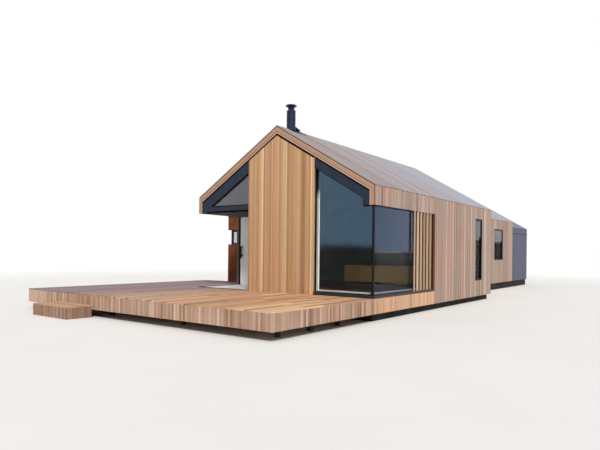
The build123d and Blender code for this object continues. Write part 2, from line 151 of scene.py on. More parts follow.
def ringQuads(rings, size, closed=False):
    # quads between rings of points that follow each other, and back to the first where closed
    i = np.arange(rings if closed else rings - 1)[:, None] * size
    k = np.arange(size)[None]
    far, turn = (i + size) % (rings * size), (k + 1) % size
    return np.stack([i + k, i + turn, far + turn, far + k], axis=-1).reshape(-1, 4)


def gridUv(u, v):
    # every u paired with its v, row by row
    return np.stack(np.broadcast_arrays(u, v), axis=-1).reshape(-1, 2)


# flat working frames
def place(origin, across, along):
    # a corner and two directions; outward is square to both
    return {"origin": np.array(origin, dtype=float), "across": np.array(across, dtype=float),
            "along": np.array(along, dtype=float), "outward": np.cross(across, along)}


def rectangle(spot, u0, u1, v0, v1):
    # each corner is the origin plus u times across plus v times along
    corners = np.array([(u0, v0), (u1, v0), (u1, v1), (u0, v1)])
    return spot["origin"] + corners[:, :1] * spot["across"] + corners[:, 1:] * spot["along"]


def sideOf(low, high, side):
    # the frame of an upright side of a box and that side's length, run as it is looked at from outside
    corner, across = {"front": ((low[0], low[1], 0), xAxis), "right": ((high[0], low[1], 0), yAxis),
                      "back": ((high[0], high[1], 0), -xAxis), "left": ((low[0], high[1], 0), -yAxis)}[side]
    return place(corner, across, zAxis), abs(np.subtract(high, low) @ across)


def sheetOf(low, high, side):
    # the outline of one side of a box, its normal, and the depth of the box behind it
    size = np.subtract(high, low)
    if side == "top":
        spot, length = place((low[0], low[1], high[2]), xAxis, yAxis), size[0]
        bottom, top = 0, size[1]
    else:
        spot, length = sideOf(low, high, side)
        bottom, top = low[2], high[2]
    return rectangle(spot, 0, length, bottom, top), spot["outward"], abs(size @ spot["outward"])


# planks
def parted(left, right, edge):
    # parts the boards that cross an edge; their far halves follow at the end
    crossed = (left < edge - snap) & (right > edge + snap)
    return (crossed, np.append(left, np.full(crossed.sum(), edge)),
            np.append(np.where(crossed, edge, right), right[crossed]))


def between(line, share):
    # the height at a share of the way between a board's two long edges
    return line[:, :1] + (line[:, 1:] - line[:, :1]) * share


def evenPlanks(length, look, lines, breaks=()):
    # even boards over a length, or one board where the look has no pitch;
    # each of the two lines is a height, or a function that gives it along the wall
    count = max(1, round(length / look.get("pitch", length)))
    step = length / count
    left = np.arange(count) * step + look["gap"] / 2
    right = left + step - look["gap"]
    for edge in breaks:
        left, right = parted(left, right, edge)[1:]
    ends = np.stack([left, right], axis=1)
    low, high = ((line(ends) if callable(line) else line) + 0 * ends for line in lines)
    return left, right, low, high


def cutPlanks(planks, holes):
    # leaves out what lies inside each hole (left, right, low, high)
    left, right, low, high = planks
    for u0, u1, v0, v1 in holes:
        for edge in (u0, u1):
            share = ((edge - left) / (right - left))[:, None]
            crossed, left, right = parted(left, right, edge)
            halves = []
            for line in (low, high):
                at = between(line, share)
                halves.append(np.concatenate([
                    np.where(crossed[:, None], np.hstack([line[:, :1], at]), line),
                    np.hstack([at, line[:, 1:]])[crossed]]))
            low, high = halves
        middle = (left + right) / 2
        within = (middle > u0) & (middle < u1)
        below = within & (low.min(axis=1) < v0 - snap)
        above = within & (high.max(axis=1) > v1 + snap)
        left, right = (np.concatenate([side[~within], side[below], side[above]]) for side in (left, right))
        low, high = (np.concatenate([low[~within], low[below], np.maximum(low[above], v1)]),
                     np.concatenate([high[~within], np.minimum(high[below], v0), high[above]]))
    return left, right, low, high


boardLook = dict(toneStep=0.618, toneChance=0.45)  # neighbouring boards differ in tone
grainShifts = dict(board=40, bar=30, sheet=20)  # metres: the most that one piece's grain lies off another's


def plankField(spot, fields, look, seed):
    # each plank is a six-point section (across, outward) carried between its two ends;
    # the height of an end at a point is read on the line between the plank's two long edges,
    # and lean makes the ends plumb on a slope
    rng = np.random.default_rng(seed)
    left, right, low, high = fields
    count = len(left)
    chamfer, depth = look["chamfer"], look["depth"]
    share = np.array([0, 0, 0, 1, 1, 1.0])
    shift = np.array([0, 0, chamfer, -chamfer, 0, 0])
    lift = -look.get("sink", 0.0) - rng.random(count) * look.get("uneven", 0.0)
    width = (right - left)[:, None]
    across = left[:, None] + width * share + shift
    outward = np.array([-depth, -chamfer, 0, 0, -chamfer, -depth]) + lift[:, None]
    ends = []
    for line in (low, high):
        along = between(line, (across - left[:, None]) / width) + look.get("lean", 0.0) * outward
        ends.append(spot["origin"] + across[..., None] * spot["across"]
                    + along[..., None] * spot["along"] + outward[..., None] * spot["outward"])
    section = len(share)
    k = np.arange(section)
    base = np.arange(count)[:, None] * 2 * section
    quads = (base[:, :, None] + ringQuads(2, section)).reshape(-1, 4)
    caps = np.concatenate([base + k[::-1], base + section + k])
    offset = rng.random((count, 1, 1)) * grainShifts["board"]
    runs = np.stack([low.mean(axis=1), high.mean(axis=1)], axis=1)
    order = np.argsort(np.argsort(left))
    tone = (order * boardLook["toneStep"] + rng.random(count) * boardLook["toneChance"]) % 1
    return {"points": np.stack(ends, axis=1).reshape(-1, 3), "faces": [quads, caps],
            "uv": gridUv(across[:, None, :] + offset, runs[:, :, None] + offset * 3),
            "tone": np.repeat(tone, 2 * section)}


def stretch(spot, length, bottom, top, holes=(), breaks=()):
    # a stretch of wall: where it is, its lower and upper line, its holes, and where boards are parted
    return spot, length, (bottom, top), holes, breaks


def boards(run, look, seed):
    # even boards over a stretch, less its holes
    spot, length, lines, holes, breaks = run
    return plankField(spot, cutPlanks(evenPlanks(length, look, lines, breaks), holes), look, seed)


# profiles carried along paths
def bar(width, depth, chamfer):
    # an eight-sided section from 0 to width inward and from -depth to 0 outward
    c = chamfer
    return np.array([(c, -depth), (width - c, -depth), (width, c - depth), (width, -c),
                     (width - c, 0), (c, 0), (0, -c), (0, c - depth)])


def inwardSteps(path, normal, closed, spread=1.0):
    # at each corner, the step that moves both neighbouring edges inward, each by its own spread:
    # half their sum along the mitre and half their difference across it
    run = np.roll(path, -1, axis=0) - path
    run /= np.linalg.norm(run, axis=1)[:, None] + 1e-12
    after = np.cross(normal, run)
    share = np.zeros(len(path))
    share[:len(path) if closed else -1] = spread
    before, prior = np.roll(after, 1, axis=0), np.roll(share, 1)
    if not closed:
        after[-1], share[-1] = before[-1], prior[-1]
        before[0], prior[0] = after[0], share[0]
    cosine = (before * after).sum(axis=1)
    along = (share + prior) / 2 / (1 + cosine)
    across = (share - prior) / 2 / (1 - cosine + 1e-9)
    return (before + after) * along[:, None] + (after - before) * across[:, None]


def carried(path, normal, profile, closed=True, seed=0, spread=1.0):
    # a closed section (inward, outward) carried round a flat path with mitred corners
    path, normal = np.array(path, dtype=float), np.array(normal, dtype=float)
    steps = inwardSteps(path, normal, closed, spread)
    points = path[:, None] + steps[:, None] * profile[None, :, :1] + normal * profile[None, :, 1:]
    count, size = len(path), len(profile)
    faces = [ringQuads(count, size, closed)]
    if not closed:
        faces.append(np.array([np.arange(size)[::-1], (count - 1) * size + np.arange(size)]))
    length = np.concatenate([[0], np.cumsum(np.linalg.norm(np.diff(path, axis=0), axis=1))])
    rng = np.random.default_rng(seed + 7)
    offset = rng.random() * grainShifts["bar"]
    return {"points": points.reshape(-1, 3), "faces": faces, "tone": np.full(count * size, rng.random()),
            "uv": gridUv(profile[:, 0] + profile[:, 1] * 0.7 + offset, length[:, None] + offset)}


def plate(outline, normal, thickness, chamfer=0.003):
    # a flat sheet: the outline at the back, at the front edge, and drawn in by the chamfer
    outline, normal = np.array(outline, dtype=float), np.array(normal, dtype=float)
    points = np.concatenate([outline - normal * thickness, outline - normal * chamfer,
                             outline + inwardSteps(outline, normal, True) * chamfer])
    size = len(outline)
    caps = np.array([np.arange(size)[::-1], np.arange(size) + 2 * size])
    along = np.cross(normal, xAxis if abs(normal[0]) < 0.5 else yAxis)
    across = np.cross(along, normal)
    rng = np.random.default_rng(11)
    uv = np.stack([points @ across, points @ along], axis=1) + rng.random() * grainShifts["sheet"]
    return {"points": points, "faces": [ringQuads(3, size), caps], "uv": uv,
            "tone": np.full(len(points), rng.random())}


def slab(low, high, side="front", chamfer=0.003):
    # a plate that fills a box, its chamfered face on the named side
    return plate(*sheetOf(low, high, side), chamfer)


def straight(low, high, width, depth, chamfer, across):
    # a bar between two points, its width laid along across
    low, high = np.array(low, dtype=float), np.array(high, dtype=float)
    normal = np.cross((high - low) / np.linalg.norm(high - low), across)
    return carried([low, high], normal, bar(width, depth, chamfer), closed=False)


def post(low, high, chamfer, seed=0):
    # an upright bar of a box's width, depth and height, standing before its front face
    section = bar(high[0] - low[0], high[1] - low[1], chamfer)
    return carried([low, (low[0], low[1], high[2])], yAxis, section, closed=False, seed=seed)


def turned(centre, profile, steps=48):
    # a profile (radius, height) turned about an upright axis
    profile = np.array(profile, dtype=float)
    angle = np.arange(steps) / steps * 2 * np.pi
    ring = np.stack([np.cos(angle), np.sin(angle), np.zeros(steps)], axis=1)
    points = profile[:, None, :1] * ring[None] + profile[:, None, 1:] * zAxis + np.array(centre)
    count = len(profile)
    caps = np.array([np.arange(steps)[::-1], (count - 1) * steps + np.arange(steps)])
    return {"points": points.reshape(-1, 3), "faces": [ringQuads(count, steps), caps],
            "uv": gridUv(angle * profile[:, 0].max(), profile[:, 1:]), "tone": np.full(count * steps, 0.5)}


# node helpers
def rgb(code):
    # six-digit screen colour to linear red, green, blue
    parts = np.array([int(code[k:k + 2], 16) for k in (0, 2, 4)]) / 255
    linear = np.where(parts < 0.04045, parts / 12.92, ((parts + 0.055) / 1.055) ** 2.4)
    return (*linear.tolist(), 1.0)


def addNode(tree, kind, inputs=None, **settings):
    # an input takes either a socket to link or a constant
    node = tree.nodes.new("ShaderNode" + kind)
    for key, value in settings.items():
        setattr(node, key, value)
    for key, value in (inputs or {}).items():
        if isinstance(value, bpy.types.NodeSocket):
            tree.links.new(value, node.inputs[key])
        else:
            node.inputs[key].default_value = value
    return node


def mixed(tree, factor, first, second, blend="MIX"):
    # the first colour at factor 0, the second at 1
    node = addNode(tree, "Mix", {0: factor, 6: first, 7: second}, data_type="RGBA", blend_type=blend)
    return node.outputs[2]


def sums(tree, operation, first, second=0.0, third=0.0):
    return addNode(tree, "Math", {0: first, 1: second, 2: third}, operation=operation).outputs[0]


def ranged(tree, value, low, high, newLow=0.0, newHigh=1.0):
    # a soft step from newLow to newHigh while the value goes from low to high
    limits = {"Value": value, "From Min": low, "From Max": high, "To Min": newLow, "To Max": newHigh}
    return addNode(tree, "MapRange", limits, interpolation_type="SMOOTHSTEP").outputs[0]


def noise(tree, vector, scale, detail, stretched=None, **more):
    # a soft noise, its pattern drawn out by a scale for each axis where stretched is given
    if stretched:
        vector = addNode(tree, "Mapping", {"Vector": vector, "Scale": stretched}).outputs[0]
    return addNode(tree, "TexNoise", {"Vector": vector, "Scale": scale, "Detail": detail, **more}).outputs[0]


def shaded(tree, color, value):
    # the colour multiplied by a plain value
    grey = addNode(tree, "CombineColor", {0: value, 1: value, 2: value}).outputs[0]
    return mixed(tree, 1.0, color, grey, "MULTIPLY")


def axisOf(tree, vector, axis):
    return addNode(tree, "SeparateXYZ", {0: vector}).outputs[axis]


def newGroup(name, inputs, outputs):
    # each socket is given with its kind, or with the first value of a number
    tree = bpy.data.node_groups.new(name, "ShaderNodeTree")
    for side, sockets in (("INPUT", inputs), ("OUTPUT", outputs)):
        for label, kind in sockets.items():
            isNumber = isinstance(kind, float)
            socket = tree.interface.new_socket(
                label, in_out=side, socket_type="NodeSocket" + ("Float" if isNumber else kind))
            if isNumber:
                socket.default_value = kind
    return tree, tree.nodes.new("NodeGroupInput").outputs, tree.nodes.new("NodeGroupOutput").inputs


def fromGroup(tree, group, inputs):
    return addNode(tree, "Group", inputs, node_tree=group).outputs


def newMaterial(name):
    material = bpy.data.materials.new(name)
    material.use_nodes = True
    tree = material.node_tree
    tree.nodes.clear()
    shader = addNode(tree, "BsdfPrincipled")
    surface = addNode(tree, "OutputMaterial", {0: shader.outputs[0]}).inputs[0]
    materials[name] = material
    return tree, shader, surface


def dress(tree, shader, color, rough, relief, constants):
    # colour, roughness, a relief (height, strength, distance), and what is the same all over
    bump = addNode(tree, "Bump", dict(zip(("Height", "Strength", "Distance"), relief)))
    for name, value in (("Base Color", color), ("Roughness", rough), ("Normal", bump.outputs[0])):
        tree.links.new(value, shader.inputs[name])
    for name, value in constants.items():
        shader.inputs[name].default_value = value


# shared effects
def buildTimberTint():
    # the main colour, mixed board by board with a chance share of the light, pink and dark one
    tree, value, result = newGroup("timberTint", {
        "Tone": 0.5, "Main": "Color", "Light": "Color", "Pink": "Color", "Dark": "Color", "Spread": 1.0},
        {"Color": "Color"})
    board = sums(tree, "MULTIPLY", value["Tone"], 917.0)
    chance = addNode(tree, "TexWhiteNoise", {"W": board}, noise_dimensions="1D").outputs["Color"]
    parts = addNode(tree, "SeparateColor", {"Color": chance}).outputs
    color = value["Main"]
    for part, name, start, most in ((0, "Light", 0.45, 1.0), (1, "Pink", 0.5, 0.9), (2, "Dark", 0.6, 0.85)):
        share = sums(tree, "MULTIPLY", ranged(tree, parts[part], start, 1.0, 0.0, most), value["Spread"])
        color = mixed(tree, share, color, value[name])
    brightness = ranged(tree, value["Tone"], 0.0, 1.0, 0.84, 1.16)  # neighbours differ most in this
    tree.links.new(shaded(tree, color, brightness), result["Color"])
    return tree


def buildTimberGrain():
    # fibres stretched along a board, with growth rings that wander through it
    tree, value, result = newGroup("timberGrain", {"Vector": "Vector", "Figure": 1.0},
                                   {"Shade": 0.0, "Height": 0.0})
    fibre = noise(tree, value["Vector"], 1.0, 4.0, stretched=(150.0, 2.2, 1.0), Roughness=0.62)
    rings = noise(tree, value["Vector"], 1.0, 2.0, stretched=(26.0, 0.8, 1.0), Distortion=1.2)
    both = sums(tree, "ADD", sums(tree, "MULTIPLY", fibre, 0.6), sums(tree, "MULTIPLY", rings, 0.4))
    strength = sums(tree, "MULTIPLY", value["Figure"], 0.8)
    shade = sums(tree, "MULTIPLY_ADD", sums(tree, "SUBTRACT", both, 0.5), strength, 1.0)
    tree.links.new(shade, result["Shade"])
    tree.links.new(fibre, result["Height"])
    return tree


def buildWeather():
    # slow patches of wear and rain streaks drawn out downward
    tree, value, result = newGroup("weatherWear", {"Vector": "Vector", "Size": 1.0},
                                   {"Patches": 0.0, "Streaks": 0.0})
    patches = noise(tree, value["Vector"], value["Size"], 5.0, Roughness=0.6)
    streaks = noise(tree, value["Vector"], 1.0, 3.0, stretched=(9.0, 9.0, 0.5))
    tree.links.new(ranged(tree, patches, 0.35, 0.7), result["Patches"])
    tree.links.new(ranged(tree, streaks, 0.4, 0.72), result["Streaks"])
    return tree


def buildMetalSkin():
    # dust and handling marks on coated metal, with a faint dimpled coat
    tree, value, result = newGroup("metalSkin", {
        "Vector": "Vector", "Base": "Color", "Dust": "Color", "Amount": 0.3},
        {"Color": "Color", "Rough": 0.0, "Height": 0.0})
    cloud = noise(tree, value["Vector"], 2.4, 6.0, Roughness=0.65)
    mask = sums(tree, "MULTIPLY", ranged(tree, cloud, 0.4, 0.75), value["Amount"])
    tree.links.new(mixed(tree, mask, value["Base"], value["Dust"]), result["Color"])
    tree.links.new(ranged(tree, cloud, 0.3, 0.7, 0.32, 0.5), result["Rough"])
    tree.links.new(noise(tree, value["Vector"], 240.0, 2.0), result["Height"])
    return tree


timberTint = buildTimberTint()
timberGrain = buildTimberGrain()
weatherWear = buildWeather()
metalSkin = buildMetalSkin()
materials = {}

# timber: colors are main, light, pink, dark and the silver of weathering; spread is how far boards
# differ, figure the strength of the grain; fade is an axis and where it turns silver, from and to
timber = dict(spread=1.0, figure=0.75, greying=0.3, wearSize=0.9, streaks=0.1, rough=0.66)
timberLooks = {
    "gableTimber": dict(colors="bd966c dabd94 bf8f77 94683f ae967f", spread=0.85, figure=0.8, greying=0.15,
                        streaks=0.12),
    "sideTimber": dict(colors="ad9483 c7b4a5 b2877b 847264 a09390", spread=1.5, figure=0.7, greying=0.4,
                       wearSize=0.7, streaks=0.22, rough=0.72),
    "roofTimber": dict(colors="9b9292 c3bcbf a88b87 6b6363 a3a4b0", spread=1.2, figure=0.9, wearSize=0.5,
                       rough=0.78, fade=(1, -7.0, 0.5)),
    "finTimber": dict(colors="bc9a7b d6bc9e c19b87 957252 b19b87", figure=0.7, rough=0.68),
    # finShade: near black timber, painted shade in the gaps between the fins
    "finShade": dict(colors="24140b 301d12 24130d 160c07 221812", spread=0.6, figure=0.6, greying=0.2,
                     streaks=0.2, rough=0.8),
    "vergeTimber": dict(colors="ad866c c09a80 ae7f6e 86634e a08b7c", spread=0.7, figure=0.9, greying=0.25,
                        wearSize=1.3, rough=0.62),
    "edgeTimber": dict(colors="d2b3a0 dfc6b6 cfa998 b08c78 c4afa2", spread=0.5, figure=0.6, greying=0.15,
                       wearSize=1.3, streaks=0.05, rough=0.62),
    "deckTimber": dict(colors="c99c6c dfbd93 c18c73 8f6b4a 786b7b", spread=1.4, figure=0.9, greying=0.25,
                       wearSize=0.45, streaks=0.0, rough=0.64, fade=(0, 3.2, -3.2)),
    "apronTimber": dict(colors="cda481 dcbb98 cba18a a9805c b9a18f", spread=1.2, greying=0.35, streaks=0.15,
                        rough=0.68),
    "skirtTimber": dict(colors="a98a72 c6ae9a b0887c 7f634e c6a89a", spread=1.1, streaks=0.15,
                        fade=(0, -2.4, -4.6)),
    "stepTimber": dict(colors="90715c a78974 946f60 6e5242 867a74", spread=0.9),
    # treadTimber: a lighter copy of stepTimber, painted light on the step's top
    "treadTimber": dict(colors="c29a78 d2ae90 c0947e 987254 b09c8e", spread=0.8, streaks=0.0),
    # the reveal's dark brown is painted shade from the soffit and the last fin
    "revealTimber": dict(colors="74502f 855e3b 744a36 523620 6e5844", spread=0.5, figure=0.6, greying=0.2,
                         streaks=0.2, rough=0.7),
    "soffitTimber": dict(colors="554e47 605a53 554a45 423d38 53504e", spread=0.6, figure=0.5, streaks=0.0,
                         rough=0.7),
    "jambTimber": dict(colors="6f6252 7d705f 6f5e50 57493c 6c665e", spread=0.5, figure=0.6, rough=0.7),
    "benchTimber": dict(colors="eeb24e f2be62 e0a052 bd8536 dcb068", spread=0.4, figure=0.6, greying=0.1,
                        wearSize=1.0, streaks=0.0, rough=0.5)}


def timberMaterial(name, look):
    # tinted board by board, greyed in patches, stained by streaks and shaded by its grain
    tree, shader = newMaterial(name)[:2]
    main, light, pink, dark, silver = map(rgb, look["colors"].split())
    tone = addNode(tree, "Attribute", attribute_name="tone").outputs["Fac"]
    spot = addNode(tree, "TexCoord").outputs
    tint = fromGroup(tree, timberTint, {"Tone": tone, "Main": main, "Light": light, "Pink": pink,
                                        "Dark": dark, "Spread": look["spread"]})
    grain = fromGroup(tree, timberGrain, {"Vector": spot["UV"], "Figure": look["figure"]})
    wear = fromGroup(tree, weatherWear, {"Vector": spot["Object"], "Size": look["wearSize"]})
    grey = sums(tree, "MULTIPLY", wear["Patches"], look["greying"])
    if "fade" in look:  # silvered more and more along one axis, and the wear patches break its edge
        axis, fadeFrom, fadeTo = look["fade"]
        broken = sums(tree, "MULTIPLY_ADD", wear["Patches"], 1.2, axisOf(tree, spot["Object"], axis))
        grey = sums(tree, "MAXIMUM", grey, ranged(tree, broken, fadeFrom, fadeTo, 0.0, 0.85))
    color = mixed(tree, grey, tint["Color"], silver)
    color = mixed(tree, sums(tree, "MULTIPLY", wear["Streaks"], look["streaks"]), color, dark)
    rough = ranged(tree, grain["Height"], 0.3, 0.7, look["rough"] + 0.08, look["rough"] - 0.08)
    dress(tree, shader, shaded(tree, color, grain["Shade"]), rough, (grain["Height"], 0.35, 0.0015),
          {"Specular IOR Level": 0.14})


metalLooks = {
    "darkMetal": dict(base="1e2738", dust="303a4c", amount=0.35, streaks=0.15, metallic=0.1, gloss=0.2),
    # blackMetal: a black metal, and on the front frames also painted shade under the trim
    "blackMetal": dict(base="060a13", dust="10151f", amount=0.3, streaks=0.1, metallic=0.0, gloss=0.08),
    "greyMetal": dict(base="474d63", dust="646879", amount=0.4, streaks=0.25, metallic=0.1, gloss=0.2,
                      ribs=0.3),
    "roofMetal": dict(base="626984", dust="7a7f95", amount=0.4, streaks=0.1, metallic=0.1, gloss=0.2,
                      ribs=0.4),
    "sillMetal": dict(base="25262b", dust="4a4743", amount=0.5, streaks=0.1, metallic=0.1, gloss=0.25),
    "flueMetal": dict(base="121f3a", dust="243652", amount=0.3, streaks=0.25, metallic=0.15, gloss=0.25),
    # the dark membrane and spacers, and painted shadow in the trim's strip and the verge's joints
    "membrane": dict(base="0d0a08", dust="1a1512", amount=0.3, streaks=0.1, metallic=0.0, gloss=0.05)}


def metalMaterial(name, look):
    # coated sheet with dust in clouds and in streaks
    tree, shader = newMaterial(name)[:2]
    spot = addNode(tree, "TexCoord").outputs["Object"]
    dust = rgb(look["dust"])
    skin = fromGroup(tree, metalSkin, {"Vector": spot, "Base": rgb(look["base"]), "Dust": dust,
                                       "Amount": look["amount"]})
    wear = fromGroup(tree, weatherWear, {"Vector": spot, "Size": 1.6})
    color = mixed(tree, sums(tree, "MULTIPLY", wear["Streaks"], look["streaks"]), skin["Color"], dust)
    if "ribs" in look:  # each rib a little paler or darker
        tone = addNode(tree, "Attribute", attribute_name="tone").outputs["Fac"]
        color = mixed(tree, sums(tree, "MULTIPLY", tone, look["ribs"]), color, dust)
    dress(tree, shader, color, skin["Rough"], (skin["Height"], 0.2, 0.0004),
          {"Metallic": look["metallic"], "Specular IOR Level": look["gloss"]})


rustLook = dict(colors="8f4a29 5f2f1c b06a35")  # fresh, deep and bright


def buildRust():
    # deep and fresh rust in patches, with bright flecks
    tree, shader = newMaterial("rustedMesh")[:2]
    spot = addNode(tree, "TexCoord").outputs["Object"]
    fresh, deep, bright = map(rgb, rustLook["colors"].split())
    patches = fromGroup(tree, weatherWear, {"Vector": spot, "Size": 3.5})["Patches"]
    fine = noise(tree, spot, 55.0, 5.0)
    color = mixed(tree, ranged(tree, fine, 0.45, 0.7, 0.0, 0.7), mixed(tree, patches, fresh, deep), bright)
    dress(tree, shader, color, ranged(tree, fine, 0.3, 0.7, 0.75, 0.95), (fine, 0.5, 0.001), {})


# glass: sheen and low are painted reflection tints, the sky's above sheenFrom and the land's below it, with
# soft between them;
# lowShare is how much of the pane's own look is left below
glassLooks = {
    "roomGlass": dict(tint="e4eaee", pale="eef2f4", sheen="a7d7ff", low="4a4c4a", sheenFrom=1.95, soft=0.25,
                      ior=1.75, lowShare=1.0),
    "sideGlass": dict(tint="6f92b8", pale="7b9dc2", sheen="60a8ff", low="26425f", sheenFrom=1.88, soft=0.05,
                      ior=1.58, lowShare=0.04),
    "cornerGlass": dict(tint="e2e6e8", pale="eef0f1", sheen="d6d6e0", low="d6d6e0", sheenFrom=0.0, soft=0.25,
                        ior=1.95, lowShare=1.0),
    "doorGlass": dict(tint="cbd1d4", pale="dde2e4", sheen="7386a0", low="30302c", sheenFrom=1.95, soft=0.25,
                      ior=1.3, lowShare=1.0),
    "windowGlass": dict(tint="76869c", pale="8593a6", sheen="9cc4ff", low="30302c", sheenFrom=2.4, soft=0.25,
                        ior=1.55, lowShare=0.03)}


def glassMaterial(name, look):
    # a faint slow wave in the panes, and a painted reflection that shines more in their upper part;
    # a shadow ray passes them, so that the sun reaches the rooms
    tree, shader, surface = newMaterial(name)
    spot = addNode(tree, "TexCoord").outputs["Object"]
    wave, film = noise(tree, spot, 0.9, 1.0), noise(tree, spot, 0.45, 2.0)
    tint, pale, sheen, low = (rgb(look[key]) for key in ("tint", "pale", "sheen", "low"))
    dress(tree, shader, mixed(tree, ranged(tree, film, 0.3, 0.7), tint, pale),
          ranged(tree, film, 0.3, 0.8, 0.0, 0.02), (wave, 0.05, 0.02),
          {"Transmission Weight": 1.0, "IOR": look["ior"]})
    edge = sums(tree, "MULTIPLY_ADD", wave, 0.3, axisOf(tree, spot, 2))
    upper = ranged(tree, edge, look["sheenFrom"], look["sheenFrom"] + look["soft"])
    # painted reflection: the specular tint goes from the land's colour low to the sky's colour sheen by
    # height
    tree.links.new(mixed(tree, upper, low, sheen), shader.inputs["Specular Tint"])
    if look["lowShare"] < 1:
        share = sums(tree, "MULTIPLY_ADD", upper, 1 - look["lowShare"], look["lowShare"])
        tree.links.new(share, shader.inputs["Alpha"])
    clear = addNode(tree, "BsdfTransparent", {"Color": pale}).outputs[0]
    shadow = addNode(tree, "LightPath").outputs["Is Shadow Ray"]
    blend = addNode(tree, "MixShader", {0: shadow, 1: shader.outputs[0], 2: clear})
    tree.links.new(blend.outputs[0], surface)


plainLooks = {
    # the base near black: its own dark colour, and painted shade under the walls
    "concrete": dict(base="26221f", other="1c1917", scale=1.8, rough=0.85, relief=0.002),
    # the two room linings: walls and ceilings darkened as painted shade, so that the rooms read dark through
    # the glass
    "liningPaint": dict(base="4e4a46", other="423f3c", scale=0.8, rough=0.7, relief=0.0006),
    "dimPaint": dict(base="1e1c1a", other="191716", scale=0.8, rough=0.7, relief=0.0006),
    # paleScreed: its own pale colour, lightened further as painted sunlight on the open corner's floor
    "paleScreed": dict(base="dcdad6", other="cfcdc9", scale=0.9, rough=0.45, relief=0.0004),
    "floorFinish": dict(base="6e6356", other="5f554a", scale=1.2, rough=0.5, relief=0.0005),
    # paleFrame: darker above shadeFrom as painted shade from the roof trim
    "paleFrame": dict(base="f7efe4", other="efe6d8", scale=1.4, rough=0.6, relief=0.0005, shadeFrom=3.15),
    "jambPaint": dict(base="eff1ef", other="e4e7e5", scale=0.9, rough=0.6, relief=0.0005),
    # plinthPaint: near black, its own dark paint and painted shade under the bench
    "plinthPaint": dict(base="1c1b1a", other="262422", scale=1.4, rough=0.6, relief=0.0005),
    "framingTimber": dict(base="4a3d31", other="3a3028", scale=2.2, rough=0.8, relief=0.001)}


def plainMaterial(name, look):
    # mineral or painted surface: two colours in soft clouds with a fine tooth, and painted shade that dims
    # it above shadeFrom
    tree, shader = newMaterial(name)[:2]
    spot = addNode(tree, "TexCoord").outputs["Object"]
    cloud = noise(tree, spot, look["scale"], 6.0)
    color = mixed(tree, ranged(tree, cloud, 0.3, 0.7), rgb(look["base"]), rgb(look["other"]))
    # painted shade: the colour turns dark grey above shadeFrom
    if "shadeFrom" in look:
        dim = ranged(tree, axisOf(tree, spot, 2), look["shadeFrom"], look["shadeFrom"] + 0.35)
        color = mixed(tree, dim, color, rgb("242526"))
    dress(tree, shader, color, ranged(tree, cloud, 0.3, 0.7, look["rough"] - 0.07, look["rough"] + 0.07),
          (noise(tree, spot, 130.0, 3.0), 0.3, look["relief"]), {"Specular IOR Level": 0.25})


def buildMaterials():
    for build, base, looks in ((timberMaterial, timber, timberLooks), (metalMaterial, {}, metalLooks),
                               (glassMaterial, {}, glassLooks), (plainMaterial, {}, plainLooks)):
        for name, look in looks.items():
            build(name, dict(base, **look))
    buildRust()
    print("materials", len(materials))


buildMaterials()

# camera, light and floor: eye and lens worked out from the gable, the deck and the long side
view = dict(eye=(11.091, -19.721, 1.723), lens=31.746, shift=0.0458, roll=-0.587, heading=36.90)
sunLook = dict(energy=2.8, softness=12, color=(1.0, 0.97, 0.92), towards=(0.55, -0.55, 0.65))
skyLook = dict(seen=(1.0, 1.0, 1.0, 1.0), cast=(0.45, 0.46, 0.48, 1.0))
groundLook = dict(reach=150.0, below=0.002, main="f0efed", cloud="e9e8e6", fadeFrom=16.0, fadeTo=34.0)


def addCamera():
    data = bpy.data.cameras.new("viewCamera")
    data.sensor_width = 36
    data.lens = view["lens"]
    data.shift_y = view["shift"]
    data.clip_end = 400
    camera = newObject("viewCamera", data)
    camera.location = view["eye"]
    camera.rotation_euler = [math.radians(angle) for angle in (90, view["roll"], view["heading"])]
    bpy.context.scene.camera = camera


def addLight():
    # one soft sun, and a world that looks white but lights as a grey sky
    data = bpy.data.lights.new("softSun", "SUN")
    data.energy = sunLook["energy"]
    data.angle = math.radians(sunLook["softness"])
    data.color = sunLook["color"]
    x, y, z = sunLook["towards"]
    newObject("softSun", data).rotation_euler = (math.atan2(math.hypot(x, y), z), 0,
                                                 math.atan2(y, x) + math.pi / 2)
    world = bpy.data.worlds.new("studioWorld")
    bpy.context.scene.world = world
    world.use_nodes = True
    tree = world.node_tree
    tree.nodes.clear()
    path = addNode(tree, "LightPath").outputs
    seen = sums(tree, "MAXIMUM", path["Is Camera Ray"], path["Is Transmission Ray"])
    seen = sums(tree, "MAXIMUM", seen, path["Is Glossy Ray"])
    color = mixed(tree, seen, skyLook["cast"], skyLook["seen"])
    shader = addNode(tree, "Background", {"Color": color, "Strength": 1.0})
    addNode(tree, "OutputWorld", {0: shader.outputs[0]})


def addFloor():
    # a pale ground that fades into the white surround
    reach, z = groundLook["reach"], -groundLook["below"]
    corners = [(-reach, -reach, z), (reach, -reach, z), (reach, reach, z), (-reach, reach, z)]
    mesh = bpy.data.meshes.new("studioFloor")
    mesh.from_pydata(corners, [], [(0, 1, 2, 3)])
    tree, shader, surface = newMaterial("studioFloor")
    spot = addNode(tree, "TexCoord").outputs["Object"]
    distance = addNode(tree, "VectorMath", {0: spot}, operation="LENGTH").outputs["Value"]
    color = mixed(tree, noise(tree, spot, 0.4, 3.0), rgb(groundLook["main"]), rgb(groundLook["cloud"]))
    tree.links.new(color, shader.inputs["Base Color"])
    shader.inputs["Roughness"].default_value = 0.9
    glow = addNode(tree, "Emission", {"Color": (1.0, 1.0, 1.0, 1.0), "Strength": 1.0})
    fade = ranged(tree, distance, groundLook["fadeFrom"], groundLook["fadeTo"])
    blend = addNode(tree, "MixShader", {0: fade, 1: shader.outputs[0], 2: glow.outputs[0]})
    tree.links.new(blend.outputs[0], surface)
    mesh.materials.append(materials["studioFloor"])
    newObject("studioFloor", mesh)


